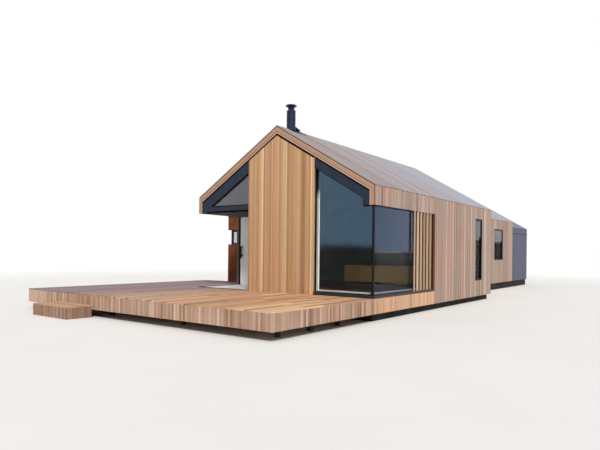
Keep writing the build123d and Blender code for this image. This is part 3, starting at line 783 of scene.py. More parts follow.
addCamera()
addLight()
addFloor()
bpy.context.scene.view_settings.view_transform = "Standard"
print("camera, light and floor")

# walls and roofs
mainRoof, rearRoof, endRoof = map(roofOf, ("main_roof_boards", "rear_roof_boards", "end_roof_skin"))
wingWindow, rearWindow, mainWindow = solids("window_frames")
floorTop = box("deck_boards")[1][2]
headHeight = box("corner_soffit")[0][2]
past = 1  # metres: a hole at a wall's end reaches this far beyond it

larch = dict(pitch=0.0585, gap=0.0055, depth=0.022, chamfer=0.0022, uneven=0.0015)
roofLarch = dict(larch, pitch=0.0615, uneven=0.002)
backing = dict(gap=0.004, depth=0.004, chamfer=0.0005, sink=0.024)
clearances = dict(ridge=0.004, valley=0.06)  # where roof boards stop at the ridge, wall boards in the valley
doorway = dict(width=0.9, height=2.1)
membranes = []


def clad(name, runs, material, slot, node, look=larch):
    # boards and the dark membrane behind them, for every stretch of wall
    shapes = []
    for order, run in enumerate(runs):
        shapes.append(boards(run, look, 31 * len(membranes) + order))
        membranes.append(boards(run, backing, 1))
    addPiece(name, shapes, material, slot, node)


def gableLine(roof, spot, drop):
    # height of the roof line above a wall that runs along x
    return lambda u: roofHeight(roof, spot["origin"][0] + spot["across"][0] * u, drop)


def doorHole(middle):
    # half the doorway's width to each side of its middle, from the floor up
    half = doorway["width"] / 2
    return middle - half, middle + half, floorTop, floorTop + doorway["height"]


def windowHole(window, start):
    # a window of the long side, measured from where that side starts
    low, high = window
    return low[1] - start, high[1] - start, low[2], high[2]


def volumeSides(node, roof):
    # the right, left and back side of a volume, under its whole roof, and the foot of its boards
    low, high = box(node)
    return (place((high[0], roof["start"], 0), yAxis, zAxis), place((low[0], roof["end"], 0), -yAxis, zAxis),
            place((roof["right"], roof["end"], 0), -xAxis, zAxis), low[2])


gableLook = dict(gap=0.034, corner=0.024)  # clear below the verge, and of the front boards at the corners


def buildGable():
    # the panel's boards end at the roof line and are parted below the ridge; a return on each side
    low, high = box("gable_boards")
    drop, corner = mainRoof["ridge"] - high[2], gableLook["corner"]
    (front, width), (left, depth) = sideOf(low, high, "front"), sideOf(low, high, "left")
    right = place((high[0], low[1] + corner, 0), yAxis, zAxis)
    postDepth = box("front_glass")[0][1] - low[1]
    clad("gable_larch", [
        stretch(front, width, floorTop, gableLine(mainRoof, front, drop + gableLook["gap"]),
                breaks=[mainRoof["middle"] - low[0]]),
        stretch(left, depth - corner, floorTop, roofHeight(mainRoof, low[0], drop)),
        stretch(right, postDepth - corner, floorTop, roofHeight(mainRoof, high[0], drop))],
        "gableTimber", "warm_larch", "gable_boards")


def buildMainWalls():
    # boards up to the eaves on the long sides and up to the roof line at the back,
    # less the glazed corner, the open corner, the window and the doorways
    right, left, back, foot = volumeSides("side_boards", mainRoof)
    start, end, length, width = (mainRoof[key] for key in ("start", "end", "length", "width"))
    glassEnd = box("side_frame")[1][1] - start
    cornerStart = end - box("door_jamb")[1][1]
    wingMiddle = end - sum(box("wing_mesh"))[1] / 2
    clad("side_larch", [
        stretch(right, length, foot, mainRoof["under"],
                [(-past, glassEnd, foot - past, headHeight), windowHole(mainWindow, start)]),
        stretch(left, length, foot, mainRoof["under"],
                [(cornerStart, length + past, 0, headHeight), doorHole(wingMiddle)])],
        "sideTimber", "weathered_larch", "side_boards")
    # fresher boards below the sill, which keeps the rain off them
    clad("apron_larch", [stretch(right, glassEnd, foot, floorTop)], "apronTimber", "weathered_larch",
         "side_boards")
    clad("back_larch", [stretch(back, width, foot, gableLine(mainRoof, back, mainRoof["drop"]),
                                [doorHole(width / 2)], [width / 2])],
         "sideTimber", "weathered_larch", "back_boards")


def slopes(roof):
    # both slopes, their boards run from the eave to the ridge
    run = roof["half"] / roof["slant"]
    rise, top = run * roof["slope"], roof["slant"] - clearances["ridge"]
    right = place((roof["right"], roof["start"], roof["eave"]), yAxis, (-run, 0, rise))
    left = place((roof["left"], roof["end"], roof["eave"]), -yAxis, (run, 0, rise))
    return [stretch(spot, roof["length"], 0.0, top) for spot in (right, left)]


def buildRoofs():
    # boards up both slopes, their ends leaning by the slope, so that they are plumb
    for name, roof, node in (("roof_larch", mainRoof, "main_roof_boards"),
                             ("rear_roof_larch", rearRoof, "rear_roof_boards")):
        clad(name, slopes(roof), "roofTimber", "roof_larch", node, dict(roofLarch, lean=roof["slope"]))


def buildRearWalls():
    # boards up to the eaves on the long sides and up to the roof line on the gables
    right, left, back, foot = volumeSides("rear_side_boards", rearRoof)
    start, length, width, drop = (rearRoof[key] for key in ("start", "length", "width", "drop"))
    clad("rear_larch", [
        stretch(right, length, foot, rearRoof["under"], [windowHole(rearWindow, start)]),
        stretch(left, length, foot, rearRoof["under"])], "sideTimber", "weathered_larch", "rear_side_boards")
    # the front gable shows left of the main volume, and above its roof as far as the roofs cross
    front = place((rearRoof["left"], start, 0), xAxis, zAxis)
    upper = place((mainRoof["left"], start, 0), xAxis, zAxis)
    crossing = (rearRoof["middle"] + mainRoof["middle"]) / 2 - mainRoof["left"]
    clad("rear_gable_larch", [
        stretch(front, mainRoof["left"] - rearRoof["left"], foot, gableLine(rearRoof, front, drop)),
        stretch(upper, crossing - clearances["valley"], gableLine(mainRoof, upper, 0),
                gableLine(rearRoof, upper, drop), breaks=[rearRoof["middle"] - mainRoof["left"]]),
        stretch(back, width, floorTop, gableLine(rearRoof, back, drop), [doorHole(width / 2)], [width / 2])],
        "sideTimber", "weathered_larch", "rear_gable_boards")


endLook = dict(band=0.3, lap=0.012)
ribs = dict(pitch=0.075, gap=0.028, depth=0.02, chamfer=0.007)
ribSheet = dict(gap=0.0, depth=0.006, chamfer=0.0005, sink=0.016)


def buildEndVolume():
    # fine upright ribs of folded sheet on the walls and down the roof, with a band below the eaves
    right, left, back, foot = volumeSides("end_side_skin", endRoof)
    length, width, under = endRoof["length"], endRoof["width"], endRoof["under"]
    seam, lap = under - endLook["band"], endLook["lap"]
    walls = [stretch(spot, length, low, high) for spot in (right, left)
             for low, high in ((foot, seam - lap), (seam + lap, under))]
    gable = [stretch(back, width, foot, gableLine(endRoof, back, endRoof["drop"]), breaks=[width / 2])]
    for name, node, runs, material, lean in (
            ("end_side_ribs", "end_side_skin", walls, "greyMetal", 0.0),
            ("end_gable_ribs", "end_gable_skin", gable, "greyMetal", 0.0),
            ("end_roof_ribs", "end_roof_skin", slopes(endRoof), "roofMetal", endRoof["slope"])):
        shapes = [boards(run, dict(look, lean=lean), seed) for order, run in enumerate(runs)
                  for look, seed in ((ribs, order), (ribSheet, 5))]
        addPiece(name, shapes, material, "grey_ribbed_metal", node)


buildGable()
buildMainWalls()
buildRoofs()
buildRearWalls()
buildEndVolume()
addPiece("wall_membrane", membranes, "membrane", "framing_timber")

# front verge, trims and beams
vergeLook = dict(joint=0.014, fascia=0.113, groove=0.012, set=0.018, board=0.027, chamfer=0.003, inset=0.001)
# shadow lowers the trims' face so that the strip of painted shadow above it shows wider
trimLook = dict(chamfer=0.003, shadow=0.022, recess=0.022, strip=0.016, stripChamfer=0.001, clear=0.002)
soffitLook = dict(pitch=0.12, gap=0.004, chamfer=0.002)


def buildVerge():
    # a fascia board and a paler batten inside it on a dark backing, narrower down the two legs; the backing
    # shows in the top joint and the groove as painted shadow lines
    low, high = box("front_verge")
    points = nodePoints("front_verge")
    crown = points[np.abs(points[:, 0] - mainRoof["middle"]) < near, 2]
    face = np.ptp(crown) * mainRoof["half"] / mainRoof["slant"]
    leftLeg, rightLeg = [leg[1][0] - leg[0][0] for leg in solids("front_verge")
                         if leg[1][0] - leg[0][0] < mainRoof["half"] / 2]
    spread = (rightLeg / face, 1, 1, leftLeg / face)
    y, ridge = low[1], mainRoof["ridge"] - mainRoof["drop"]
    shoulder = roofHeight(mainRoof, high[0], mainRoof["drop"])
    path = [(high[0], y, headHeight), (high[0], y, shoulder), (mainRoof["middle"], y, ridge),
            (low[0], y, shoulder), (low[0], y, headHeight)]
    look, depth = vergeLook, high[1] - low[1]
    start, inset = look["joint"] + look["fascia"] + look["groove"], look["inset"]
    for name, inner, width, setBack, thickness, seed, material, slot, stands in (
            # the backing is a real dark board, and where it shows it is painted shadow
            ("verge_shadow_backing", inset, face - 2 * inset, look["board"] / 2, depth - look["board"] * 2, 1,
             "membrane", "framing_timber", ()),
            ("verge_fascia", look["joint"], look["fascia"], 0, look["board"], 2,
             "vergeTimber", "warm_larch", ("front_verge",)),
            ("verge_batten", start, face - start, look["set"] / 2, look["board"], 3,
             "edgeTimber", "warm_larch", ("front_verge",))):
        section = bar(width, thickness, look["chamfer"]) + (inner, -setBack)
        addPiece(name, [carried(path, -yAxis, section, closed=False, seed=seed, spread=spread)],
                 material, slot, *stands)


def buildTrims():
    # folded sheets below the verge; a recessed black strip of painted shadow parts them from its batten
    trims = solids("front_trim")
    left, band, leg = trims
    points = nodePoints("front_trim")
    y0 = points[:, 1].min()
    front = points[np.abs(points[:, 1] - y0) < near]

    def dropOf(spots, x, pick):
        # how far below the roof line the highest or lowest spot at x lies
        return roofHeight(mainRoof, x) - pick(spots[np.abs(spots[:, 0] - x) < near, 2])

    def line(x, drop):
        # the point at x that lies a drop below the roof line
        return x, y0, roofHeight(mainRoof, x, drop)

    foot = left[0][2]
    atFoot = points[(np.abs(points[:, 2] - foot) < near) & (points[:, 0] < mainRoof["middle"]), 0]
    xa, xb, xLeg = left[0][0], left[1][0], atFoot.max()
    xc, xd = band[0][0], band[1][0]
    vergeDrop, lowDrop = dropOf(points, xb, np.max), dropOf(points, xb, np.min)
    faceDrop = dropOf(front, xb, np.max) + trimLook["shadow"]
    bandDrop = dropOf(points, xc, np.min)
    legDrop = bandDrop + trimLook["clear"]
    outlines = [[(xa, y0, foot), (xLeg, y0, foot), line(xLeg, lowDrop), line(xb, lowDrop),
                 line(xb, faceDrop), line(xa, faceDrop)],
                [line(xc, bandDrop), line(xd, bandDrop), line(xd, faceDrop), line(xc, faceDrop)],
                [(leg[0][0], y0, leg[0][2]), (leg[1][0], y0, leg[0][2]), line(leg[1][0], legDrop),
                 line(leg[0][0], legDrop)]]
    addPiece("gable_trim", [plate(outline, -yAxis, pair[1][1] - y0, trimLook["chamfer"])
                            for outline, pair in zip(outlines, trims)],
             "darkMetal", "dark_metal", "front_trim")
    # painted shadow: a black strip in the recess between the trims and the batten
    strips = [[line(x0, faceDrop), line(x1, faceDrop), line(x1, vergeDrop), line(x0, vergeDrop)]
              for x0, x1 in ((xa, xb), (xc, xd))]
    addPiece("trim_painted_shadow", [plate(strip + yAxis * trimLook["recess"], -yAxis, trimLook["strip"],
                                       trimLook["stripChamfer"]) for strip in strips],
             "membrane", "dark_metal")
    return lowDrop


def buildBeams(trimDrop):
    # the front beam is cut along the trim's lower edge
    (low, high), side = sorted(solids("corner_beam"), key=lambda pair: pair[0][1])
    gap, y = trimDrop + trimLook["clear"], low[1]
    reach = mainRoof["left"] + (high[2] + gap - mainRoof["eave"]) / mainRoof["slope"]
    outline = [(low[0], y, low[2]), (high[0], y, low[2]), (high[0], y, high[2]), (reach, y, high[2]),
               (low[0], y, roofHeight(mainRoof, low[0], gap))]
    addPiece("lintel_beam", [plate(outline, -yAxis, high[1] - y, trimLook["chamfer"]),
                             slab(*side, "front", trimLook["chamfer"])],
             "darkMetal", "dark_metal", "corner_beam")
    low, high = box("corner_soffit")
    size = high - low
    spot = place((low[0], high[1], low[2]), xAxis, -yAxis)
    addPiece("soffit_boards", [boards(stretch(spot, size[0], 0.0, size[1]),
                                      dict(soffitLook, depth=size[2]), 12)],
             "soffitTimber", "soffit_board", "corner_soffit")


buildVerge()
buildBeams(buildTrims())

# glazing
glazing = dict(edge=0.012, frame=0.026, chamfer=0.003, bead=0.012, paneChamfer=0.0005, spacer=0.001,
               postChamfer=0.004)
spacers = []


def panes(outline, normal, depth):
    # one sealed unit: a plate of glass and the dark spacer round its edge
    inset = glazing["spacer"]
    spacers.append(carried(outline - normal * inset, normal, bar(glazing["edge"], depth - 2 * inset, inset)))
    return plate(outline, normal, depth, glazing["paneChamfer"])


def boxPanes(pairs, side):
    # a sealed unit in each box, its face on the named side
    return [panes(*sheetOf(low, high, side)) for low, high in pairs]


def addSheets(name, node, material, slot, side="front", chamfer=0.003):
    # a plain folded or cut sheet on each solid of a node
    addPiece(name, [slab(*pair, side, chamfer) for pair in solids(node)], material, slot, node)


def buildFrontGlass():
    # two frames and two panes: the tall one left of the corner post, and the small one in the gable
    left, right = solids("front_frame")
    xa, xb, x1 = right[0][0], right[1][0], solids("front_trim")[-1][0][0]
    bandDrop = roofHeight(mainRoof, xa) - right[1][2]
    tall = [(xb, headHeight), (x1, headHeight), (x1, roofHeight(mainRoof, x1, bandDrop)),
            (xa, right[1][2]), (xa, right[0][2]), (xb, right[0][2])]
    small = [(left[0][0], left[0][2]), (left[1][0], left[0][2]), (left[1][0], left[1][2])]
    sheets = solids("front_glass")
    frames = []
    for name, outline, (low, high), sheet, material, closed in (
            ("front_panes", tall, right, sheets[-1], "roomGlass", False),  # open at the corner post
            ("corner_pane", small, left, sheets[0], "cornerGlass", True)):
        corners = np.array([(x, low[1], z) for x, z in outline])
        section = bar(glazing["frame"], high[1] - low[1], glazing["chamfer"])
        frames.append(carried(corners, -yAxis, section, closed=closed))
        pane = panes(corners + yAxis * (sheet[0][1] - low[1]), -yAxis, sheet[1][1] - sheet[0][1])
        addPiece(name, [pane], material, "glazing", "front_glass")
    # the frames in black: their own colour, and painted shade under the trim
    addPiece("front_frames", frames, "blackMetal", "dark_metal", "front_frame")


def buildSideGlass():
    # the frame is carried round three edges, open at the corner post; the mullion stands in it
    low, high = box("side_frame")
    outline, normal, depth = sheetOf(low, high, "right")
    width, chamfer = glazing["frame"], glazing["chamfer"]
    stops = np.unique(np.round(nodePoints("side_frame")[:, 1], 4))  # the second and third are the mullion's
    mullion = straight((high[0], stops[1], low[2] + width), (high[0], stops[1], high[2] - width),
                       stops[2] - stops[1], depth, chamfer, yAxis)
    addPiece("side_frames", [carried(outline, normal, bar(width, depth, chamfer), closed=False), mullion],
             "darkMetal", "dark_metal", "side_frame")
    addPiece("side_panes", boxPanes([box("side_glass")], "right"), "sideGlass", "glazing", "side_glass")
    addPiece("corner_mullion", [post(*box("corner_post"), glazing["postChamfer"])],
             "blackMetal", "dark_metal", "corner_post")


def buildInnerFrame():
    # pale inner frame behind the corner panes: a rail along each pane and one upright at the panel
    (low, high), (sideLow, sideHigh) = sorted(solids("inner_frame"), key=lambda pair: pair[0][1])
    y, railTop = low[1], sideHigh[2]
    points = nodePoints("inner_frame")
    stile = low[0] + points[points[:, 2] > railTop + near, 0].max() - points[:, 0].min()
    inner = high[2] - (stile - low[0]) * mainRoof["slope"]
    outline = [(low[0], y, railTop), (stile, y, railTop), (stile, y, inner), (low[0], y, high[2])]
    addPiece("inner_lining", [slab(low, (high[0], high[1], railTop)), plate(outline, -yAxis, high[1] - y),
                              slab(sideLow, sideHigh, "right")], "paleFrame", "lining", "inner_frame")
    # the reveal in dark timber: painted shade from the soffit and the last fin
    addSheets("reveal_lining", "corner_reveal", "revealTimber", "warm_larch", chamfer=0.002)


benchLook = dict(panels=4, joint=0.004, board=0.02, plinth=0.1, recess=0.06, top=0.03, shadow=0.003,
                 chamfer=0.002)


def buildBench():
    # panelled sides and a thin top on a dark plinth, near black as its own paint and as painted shade under
    # the bench
    low, high = box("bench")
    under, top = low[2] + benchLook["plinth"], high[2] - benchLook["top"]
    look = dict(pitch=(high[0] - low[0]) / benchLook["panels"], gap=benchLook["joint"],
                depth=benchLook["board"], chamfer=benchLook["chamfer"])
    board = yAxis * benchLook["board"]
    walls = [sideOf(low, high, "front"), sideOf(low, high, "back"),
             sideOf(low + board, high - board, "right"), sideOf(low + board, high - board, "left")]
    shapes = [boards(stretch(*wall, under, top - benchLook["shadow"]), look, 70 + order)
              for order, wall in enumerate(walls)]
    shapes.append(slab((low[0], low[1], top), high, "top"))
    addPiece("kitchen_panels", shapes, "benchTimber", "bench_timber", "bench")
    recess = (xAxis + yAxis) * benchLook["recess"]
    base = slab(low + recess, np.append((high - recess)[:2], under), "top", benchLook["chamfer"])
    # the plinth near black: its own paint and painted shade under the bench
    addPiece("kitchen_plinth", [base], "plinthPaint", "bench_timber", "bench")


finLook = dict(clear=0.002, backing=0.006, backingChamfer=0.0005, start=0.18, chamfer=0.003)


def buildFins():
    # upright fins, and a thin dark board behind them from the second fin on, painted shade in the gaps
    # between the fins
    addPiece("larch_fins", [post(low, high, finLook["chamfer"], order)
                            for order, (low, high) in enumerate(solids("slats"))],
             "finTimber", "warm_larch", "slats")
    low, high = box("slats")
    frameHigh = box("side_frame")[1]
    x = frameHigh[0] + finLook["clear"]
    # the dark board is painted shade seen between the fins
    board = slab((x, low[1] + finLook["start"], low[2]), (x + finLook["backing"], frameHigh[1], high[2]),
                 "right", finLook["backingChamfer"])
    addPiece("fin_shade_sheet", [board], "finShade", "framing_timber")


windowLook = dict(stile=0.05, chamfer=0.003, beadSet=0.02, beadChamfer=0.002)


def buildWindows():
    # the wing's window turns its corner; the two in the long side have a frame and a bead round the pane
    stile, chamfer = windowLook["stile"], windowLook["chamfer"]
    low, high = wingWindow
    sheets = sheetOf(low, high, "front"), sheetOf(low + yAxis * stile, high, "left")
    addPiece("wing_surround", [carried(outline, normal, bar(stile, stile, chamfer))
                               for outline, normal, depth in sheets],
             "darkMetal", "dark_metal", "window_frames")
    frames = []
    for low, high in (rearWindow, mainWindow):
        outline, normal, depth = sheetOf(low, high, "right")
        inner = sheetOf(low + stile, high - stile, "right")[0] + normal * (stile - windowLook["beadSet"])
        frames += [carried(outline, normal, bar(stile, depth, chamfer)),
                   carried(inner, normal, bar(glazing["bead"], glazing["bead"], windowLook["beadChamfer"]))]
    addPiece("window_surrounds", frames, "blackMetal", "dark_metal", "window_frames")
    corner, walls = [], []
    for low, high in solids("window_glass"):
        size = high - low
        if low[0] > 0:
            walls += boxPanes([(low, high)], "right")
        else:
            corner += boxPanes([(low, high)], "left" if size[0] < size[1] else "front")
    addPiece("window_panes", walls, "windowGlass", "glazing", "window_glass")
    addPiece("wing_panes", corner, "doorGlass", "glazing", "window_glass")


leafLook = dict(stile=0.055, rail=0.06, railAt=0.05, chamfer=0.003)


def buildFoldingDoors():
    # three folded leaves, each with stiles and a lower rail, and the sheets and tracks beside them
    stile, chamfer = leafLook["stile"], leafLook["chamfer"]
    frames, rails = [], []
    for low, high in solids("door_frames"):
        outline, normal, depth = sheetOf(low, high, "front")
        frames.append(carried(outline, normal, bar(stile, depth, chamfer)))
        z = low[2] + leafLook["railAt"]
        rails.append(straight((low[0] + stile, low[1], z), (high[0] - stile, low[1], z), leafLook["rail"],
                              depth, chamfer, zAxis))
    addPiece("folding_frames", frames + rails, "darkMetal", "dark_metal", "door_frames")
    addPiece("folding_panes", boxPanes(solids("door_glass"), "front"), "doorGlass", "glazing", "door_glass")
    addSheets("jamb_board", "door_jamb", "jambTimber", "weathered_larch")
    addSheets("jamb_cover", "jamb_post", "blackMetal", "dark_metal")
    addSheets("jamb_lining", "jamb_panel", "jambPaint", "lining")
    addSheets("track_rails", "door_tracks", "blackMetal", "dark_metal", "top", chamfer=0.002)


handleLook = dict(length=0.42, grip=0.04, reach=0.05, foot=1.5, aside=0.072, lower=0.05, upper=0.07,
                  chamfer=0.003, overlap=0.002)


def buildHandle():
    # a square pull on two stand-offs in front of the panel beside the jamb cover
    low, high = box("jamb_post")
    grip, reach, foot = handleLook["grip"], handleLook["reach"], handleLook["foot"]
    head, chamfer, overlap = foot + handleLook["length"], handleLook["chamfer"], handleLook["overlap"]
    x, y = high[0] + handleLook["aside"], low[1] - reach
    shapes = [straight((x, y, foot), (x, y, head), grip, grip, chamfer, xAxis)]
    for z in (foot + handleLook["lower"] + grip, head - handleLook["upper"] + grip):
        shapes.append(straight((x, y + grip - overlap, z), (x, y + reach + chamfer, z), grip, grip, overlap,
                               xAxis))
    addPiece("pull_handle", shapes, "blackMetal", "dark_metal")


screedLook = dict(slab=0.68, joint=0.005, proud=0.0015, depth=0.01, chamfer=0.001, clear=0.004)


def buildScreed():
    # pale slabs of the open corner, a whole number each way, within the door tracks; their pale colour is
    # partly their own and partly painted sunlight
    frontHigh, sideHigh = sorted((high for low, high in solids("door_tracks")), key=lambda high: -high[0])
    x0, y0 = sideHigh[0] + screedLook["clear"], frontHigh[1] + screedLook["clear"]
    width, depth = frontHigh[0] - x0, sideHigh[1] - y0
    rows = round(depth / screedLook["slab"])
    look = dict(screedLook, gap=screedLook["joint"], pitch=width / round(width / screedLook["slab"]))
    shapes = []
    for row in range(rows):
        spot = place((x0, y0 + row * depth / rows, floorTop + screedLook["proud"]), xAxis, yAxis)
        shapes.append(boards(stretch(spot, width, 0.0, depth / rows - screedLook["joint"]), look, 110 + row))
    addPiece("corner_screed", shapes, "paleScreed", "floor_finish")


buildFrontGlass()
buildSideGlass()
buildInnerFrame()
buildBench()
addSheets("sill_section", "corner_sill", "sillMetal", "dark_metal")
buildFins()
buildWindows()
buildFoldingDoors()
buildHandle()
buildScreed()
addPiece("glass_spacers", spacers, "membrane", "dark_metal")

# deck and step
deckLook = dict(pitch=0.126, gap=0.005, chamfer=0.004, uneven=0.0015, endJoint=1.0, clear=0.002)
skirtLook = dict(pitch=0.062, gap=0.005, depth=0.022, chamfer=0.002, uneven=0.0015)
stepLook = dict(deckLook, depth=0.026)
sameEdge = 0.1  # metres: a skirt this near to the deck's front or right edge belongs to it


def buildDeck():
    # every board is cut over a joist drawn by chance, no nearer to its ends than endJoint
    joists = np.unique([round(float(low[1] + high[1]) / 2, 3) for low, high in solids("deck_joists")])
    rng = np.random.default_rng(40)
    half, clear = deckLook["gap"] / 2, deckLook["endJoint"]
    shapes = []
    for order, (low, high) in enumerate(solids("deck_boards")):
        left, right, starts, ends = evenPlanks(high[0] - low[0], deckLook, (low[1], high[1]))
        usable = joists[(joists > low[1] + clear) & (joists < high[1] - clear)]
        cut = usable[rng.integers(0, len(usable), len(left))][:, None] + 0 * starts
        fields = (np.tile(left, 2), np.tile(right, 2), np.concatenate([starts, cut + half]),
                  np.concatenate([cut - half, ends]))
        spot, look = place((low[0], 0, high[2]), xAxis, yAxis), dict(deckLook, depth=high[2] - low[2])
        look["depth"] -= deckLook["clear"]
        shapes.append(plankField(spot, fields, look, 60 + order))
    addPiece("deck_planks", shapes, "deckTimber", "deck_larch", "deck_boards")


def buildSkirt():
    # upright boards on the outer face of each stretch of skirt
    outerLow, outerHigh = box("deck_skirt")
    shapes = []
    for order, (low, high) in enumerate(solids("deck_skirt")):
        if high[0] - low[0] > high[1] - low[1]:
            side = "front" if low[1] < outerLow[1] + sameEdge else "back"
        else:
            side = "right" if high[0] > outerHigh[0] - sameEdge else "left"
        shapes.append(boards(stretch(*sideOf(low, high, side), low[2], high[2]), skirtLook, 80 + order))
    addPiece("deck_face_boards", shapes, "skirtTimber", "deck_larch", "deck_skirt")


def buildStep():
    # tread boards from side to side, and upright boards below them on three sides; the tread is a lighter
    # copy of the step timber, painted light on the top
    low, high = box("step")
    size = high - low
    sideways = place((high[0], low[1], high[2]), yAxis, -xAxis)
    # the tread in a lighter timber: painted light on the top
    addPiece("step_tread", [boards(stretch(sideways, size[1], 0.0, size[0]), stepLook, 3)],
             "treadTimber", "deck_larch", "step")
    under = high[2] - stepLook["depth"] - stepLook["clear"]
    behind = low + yAxis * skirtLook["depth"]
    walls = sideOf(low, high, "front"), sideOf(behind, high, "right"), sideOf(behind, high, "left")
    addPiece("step_boards", [boards(stretch(*wall, low[2], under), skirtLook, 90 + order)
                             for order, wall in enumerate(walls)], "stepTimber", "deck_larch", "step")


buildDeck()
buildSkirt()
buildStep()

# wing and flue
meshLook = dict(pitch=0.1, row=0.04, strand=0.006, depth=0.005)
meshSheet = dict(pitch=0.6, gap=0.002, depth=0.02, chamfer=0.001, sink=0.012)


def meshStrands(run, look):
    # expanded metal: strands zigzag across, each short strand a three-sided bar
    spot, length, (low, high), holes = run[:4]
    columns = round(length / (look["pitch"] / 2))
    rows = round((high - low) / (look["row"] / 2))
    u = np.linspace(0, length, columns + 1)
    v = np.linspace(low + look["row"] / 4, high - look["row"] / 4, rows)
    grid = np.arange(columns + 1)[None] + np.arange(rows)[:, None]
    heights = v[:, None] + np.where(grid % 2 == 0, 1, -1) * look["row"] / 4
    a0, a1, b0, b1 = (part.ravel() for part in np.broadcast_arrays(u[:-1], u[1:], heights[:, :-1],
                                                                   heights[:, 1:]))
    middle, tall = (a0 + a1) / 2, (b0 + b1) / 2
    keep = np.ones(len(a0), dtype=bool)
    for u0, u1, v0, v1 in holes:
        keep &= ~((middle > u0) & (middle < u1) & (tall > v0) & (tall < v1))
    half = look["strand"] / 2
    section = np.array([(-half, -look["depth"]), (half, -look["depth"]), (0, 0)])
    ends = []
    for a, b in ((a0[keep], b0[keep]), (a1[keep], b1[keep])):
        tall = b[:, None] + section[:, 0]
        ends.append(spot["origin"] + a[:, None, None] * spot["across"]
                    + tall[..., None] * spot["along"] + section[None, :, 1:] * spot["outward"])
    points = np.stack(ends, axis=1).reshape(-1, 3)
    base = np.arange(keep.sum())[:, None] * 6
    quads = np.concatenate([base + np.array([k, k + 3, (k + 1) % 3 + 3, (k + 1) % 3]) for k in range(3)])
    caps = np.concatenate([base + np.array([0, 1, 2]), base + np.array([5, 4, 3])])
    uv = points[:, [0, 2]] + points[:, [1, 1]]
    return {"points": points, "faces": [quads, caps], "uv": uv, "tone": np.full(len(points), 0.5)}


def buildWing():
    # rusted mesh on a close backing on three sides, open where the window turns the corner
    low, high = box("wing_mesh")
    top = box("wing_roof")[0][2]
    (paneLow, paneHigh), length = wingWindow, high[1] - low[1]
    pane, sill, head = paneHigh[0] - low[0], paneLow[2], paneHigh[2]
    holes = {"front": [(-past, pane, sill, head)], "left": [(length - pane, length + past, sill, head)],
             "back": []}
    runs = [stretch(*sideOf(low, high, side), low[2], top, cut) for side, cut in holes.items()]
    addPiece("mesh_cladding", [meshStrands(run, meshLook) for run in runs], "rustedMesh", "rusted_mesh",
             "wing_mesh")
    addPiece("mesh_backing", [boards(run, meshSheet, 8) for run in runs], "rustedMesh", "rusted_mesh",
             "wing_mesh")
    addSheets("wing_cap", "wing_roof", "darkMetal", "dark_metal", "top", chamfer=0.004)


flueLook = dict(below=0.05, sleeve=0.004, band=0.03, bandAt=0.3, ease=0.002, lip=0.02)
cowlLook = dict(neck=0.09, capShare=0.6, ventShare=0.62, struts=8, strut=0.012, strutChamfer=0.001,
                rise=0.055, brim=0.012, seat=0.004, steps=9, foot=0.12, crown=0.04)
saddleLook = dict(sheet=0.006, chamfer=0.001, lap=0.004)


def buildFlue():
    # the tube with a lower and an upper band
    low, high = box("flue_pipe")
    centre = np.append((low + high)[:2] / 2, 0)
    radius = (high[0] - low[0]) / 2
    slim, band, ease = radius - flueLook["sleeve"], flueLook["band"], flueLook["ease"]
    foot, top = mainRoof["ridge"] - flueLook["below"], high[2]
    first = foot + flueLook["bandAt"]
    tube = [(slim, foot), (slim, first), (radius, first + ease), (radius, first + band),
            (slim, first + band + ease), (slim, top - band), (radius, top - band + ease), (radius, top),
            (radius - flueLook["lip"], top)]
    addPiece("flue_tube", [turned(centre, tube)], "flueMetal", "flue_metal", "flue_pipe")
    return centre, radius


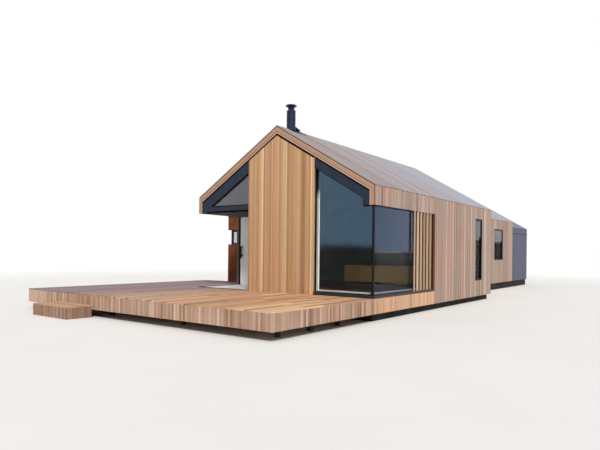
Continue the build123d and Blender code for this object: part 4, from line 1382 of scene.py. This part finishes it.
def buildCowl(centre):
    # the cap rises as a low dome: height grows with the sine as the radius shrinks with the cosine,
    # from an angle of foot to crown short of upright
    low, high = box("flue_cowl")
    wide, neck = (high[0] - low[0]) / 2, cowlLook["neck"]
    brim = high[2] - cowlLook["rise"]
    seat, eave = brim + cowlLook["seat"], brim + cowlLook["brim"]
    sweep = np.linspace(cowlLook["foot"], np.pi / 2 - cowlLook["crown"], cowlLook["steps"])
    dome = np.column_stack([wide * np.cos(sweep), eave + (high[2] - eave) * np.sin(sweep)])
    cap = np.concatenate([[(neck * cowlLook["capShare"], seat), (wide, brim)], dome])
    addPiece("flue_cap", [turned(centre, cap)], "flueMetal", "flue_metal", "flue_cowl")
    inner, strut = neck * cowlLook["ventShare"], cowlLook["strut"]
    vents = [turned(centre, [(inner, low[2]), (inner, seat)])]
    for angle in 2 * np.pi * np.arange(cowlLook["struts"]) / cowlLook["struts"]:
        x, y = centre[0] + neck * np.cos(angle), centre[1] + neck * np.sin(angle)
        vents.append(post((x, y, low[2]), (x + strut, y + strut, brim), cowlLook["strutChamfer"]))
    addPiece("flue_vents", vents, "flueMetal", "flue_metal", "flue_cowl")


def buildSaddle(centre, radius):
    # a folded saddle over the ridge, and a sheet behind the pipe that falls to it
    (low, high), (wedgeLow, wedgeHigh) = solids("flue_flashing")
    reach = (high[0] - low[0]) / 2
    rise = high[2] - mainRoof["ridge"]
    path = [(x, low[1], roofHeight(mainRoof, x) + rise) for x in centre[0] + np.array([reach, 0, -reach])]
    section = bar(saddleLook["sheet"], high[1] - low[1], saddleLook["chamfer"])
    addPiece("ridge_saddle", [carried(path, -yAxis, section, closed=False)], "flueMetal", "flue_metal",
             "flue_flashing")
    lap = saddleLook["lap"]
    x, y, foot = wedgeHigh[0], centre[1], high[2] - lap
    side = [(x, y, foot), (x, wedgeHigh[1], foot), (x, y + radius, wedgeHigh[2]), (x, y, wedgeHigh[2])]
    addPiece("rear_upstand", [plate(side, xAxis, x - wedgeLow[0], lap)], "flueMetal", "flue_metal",
             "flue_flashing")


buildWing()
flueCentre, flueRadius = buildFlue()
buildCowl(flueCentre)
buildSaddle(flueCentre, flueRadius)

# nodes that show as they are
finishes = {
    # the base near black: partly its own colour, partly painted shade under the walls
    "concrete": "base", "floorFinish": "floor", "framingTimber": "deck_joists deck_posts",
    # the rooms' walls and ceilings in dark paint: painted shade of the dim rooms
    "liningPaint": "side_walls wall_infill back_wall gable_wall main_roof wing_walls",
    "dimPaint": "rear_walls rear_gable_walls rear_roof end_walls end_back_wall end_roof"}


def finishNodes():
    for finish, nodes in finishes.items():
        for node in nodes.split():
            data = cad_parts[node].data
            data.materials.clear()
            data.materials.append(materials[finish])
        print("finish", finish, "on", nodes)


finishNodes()
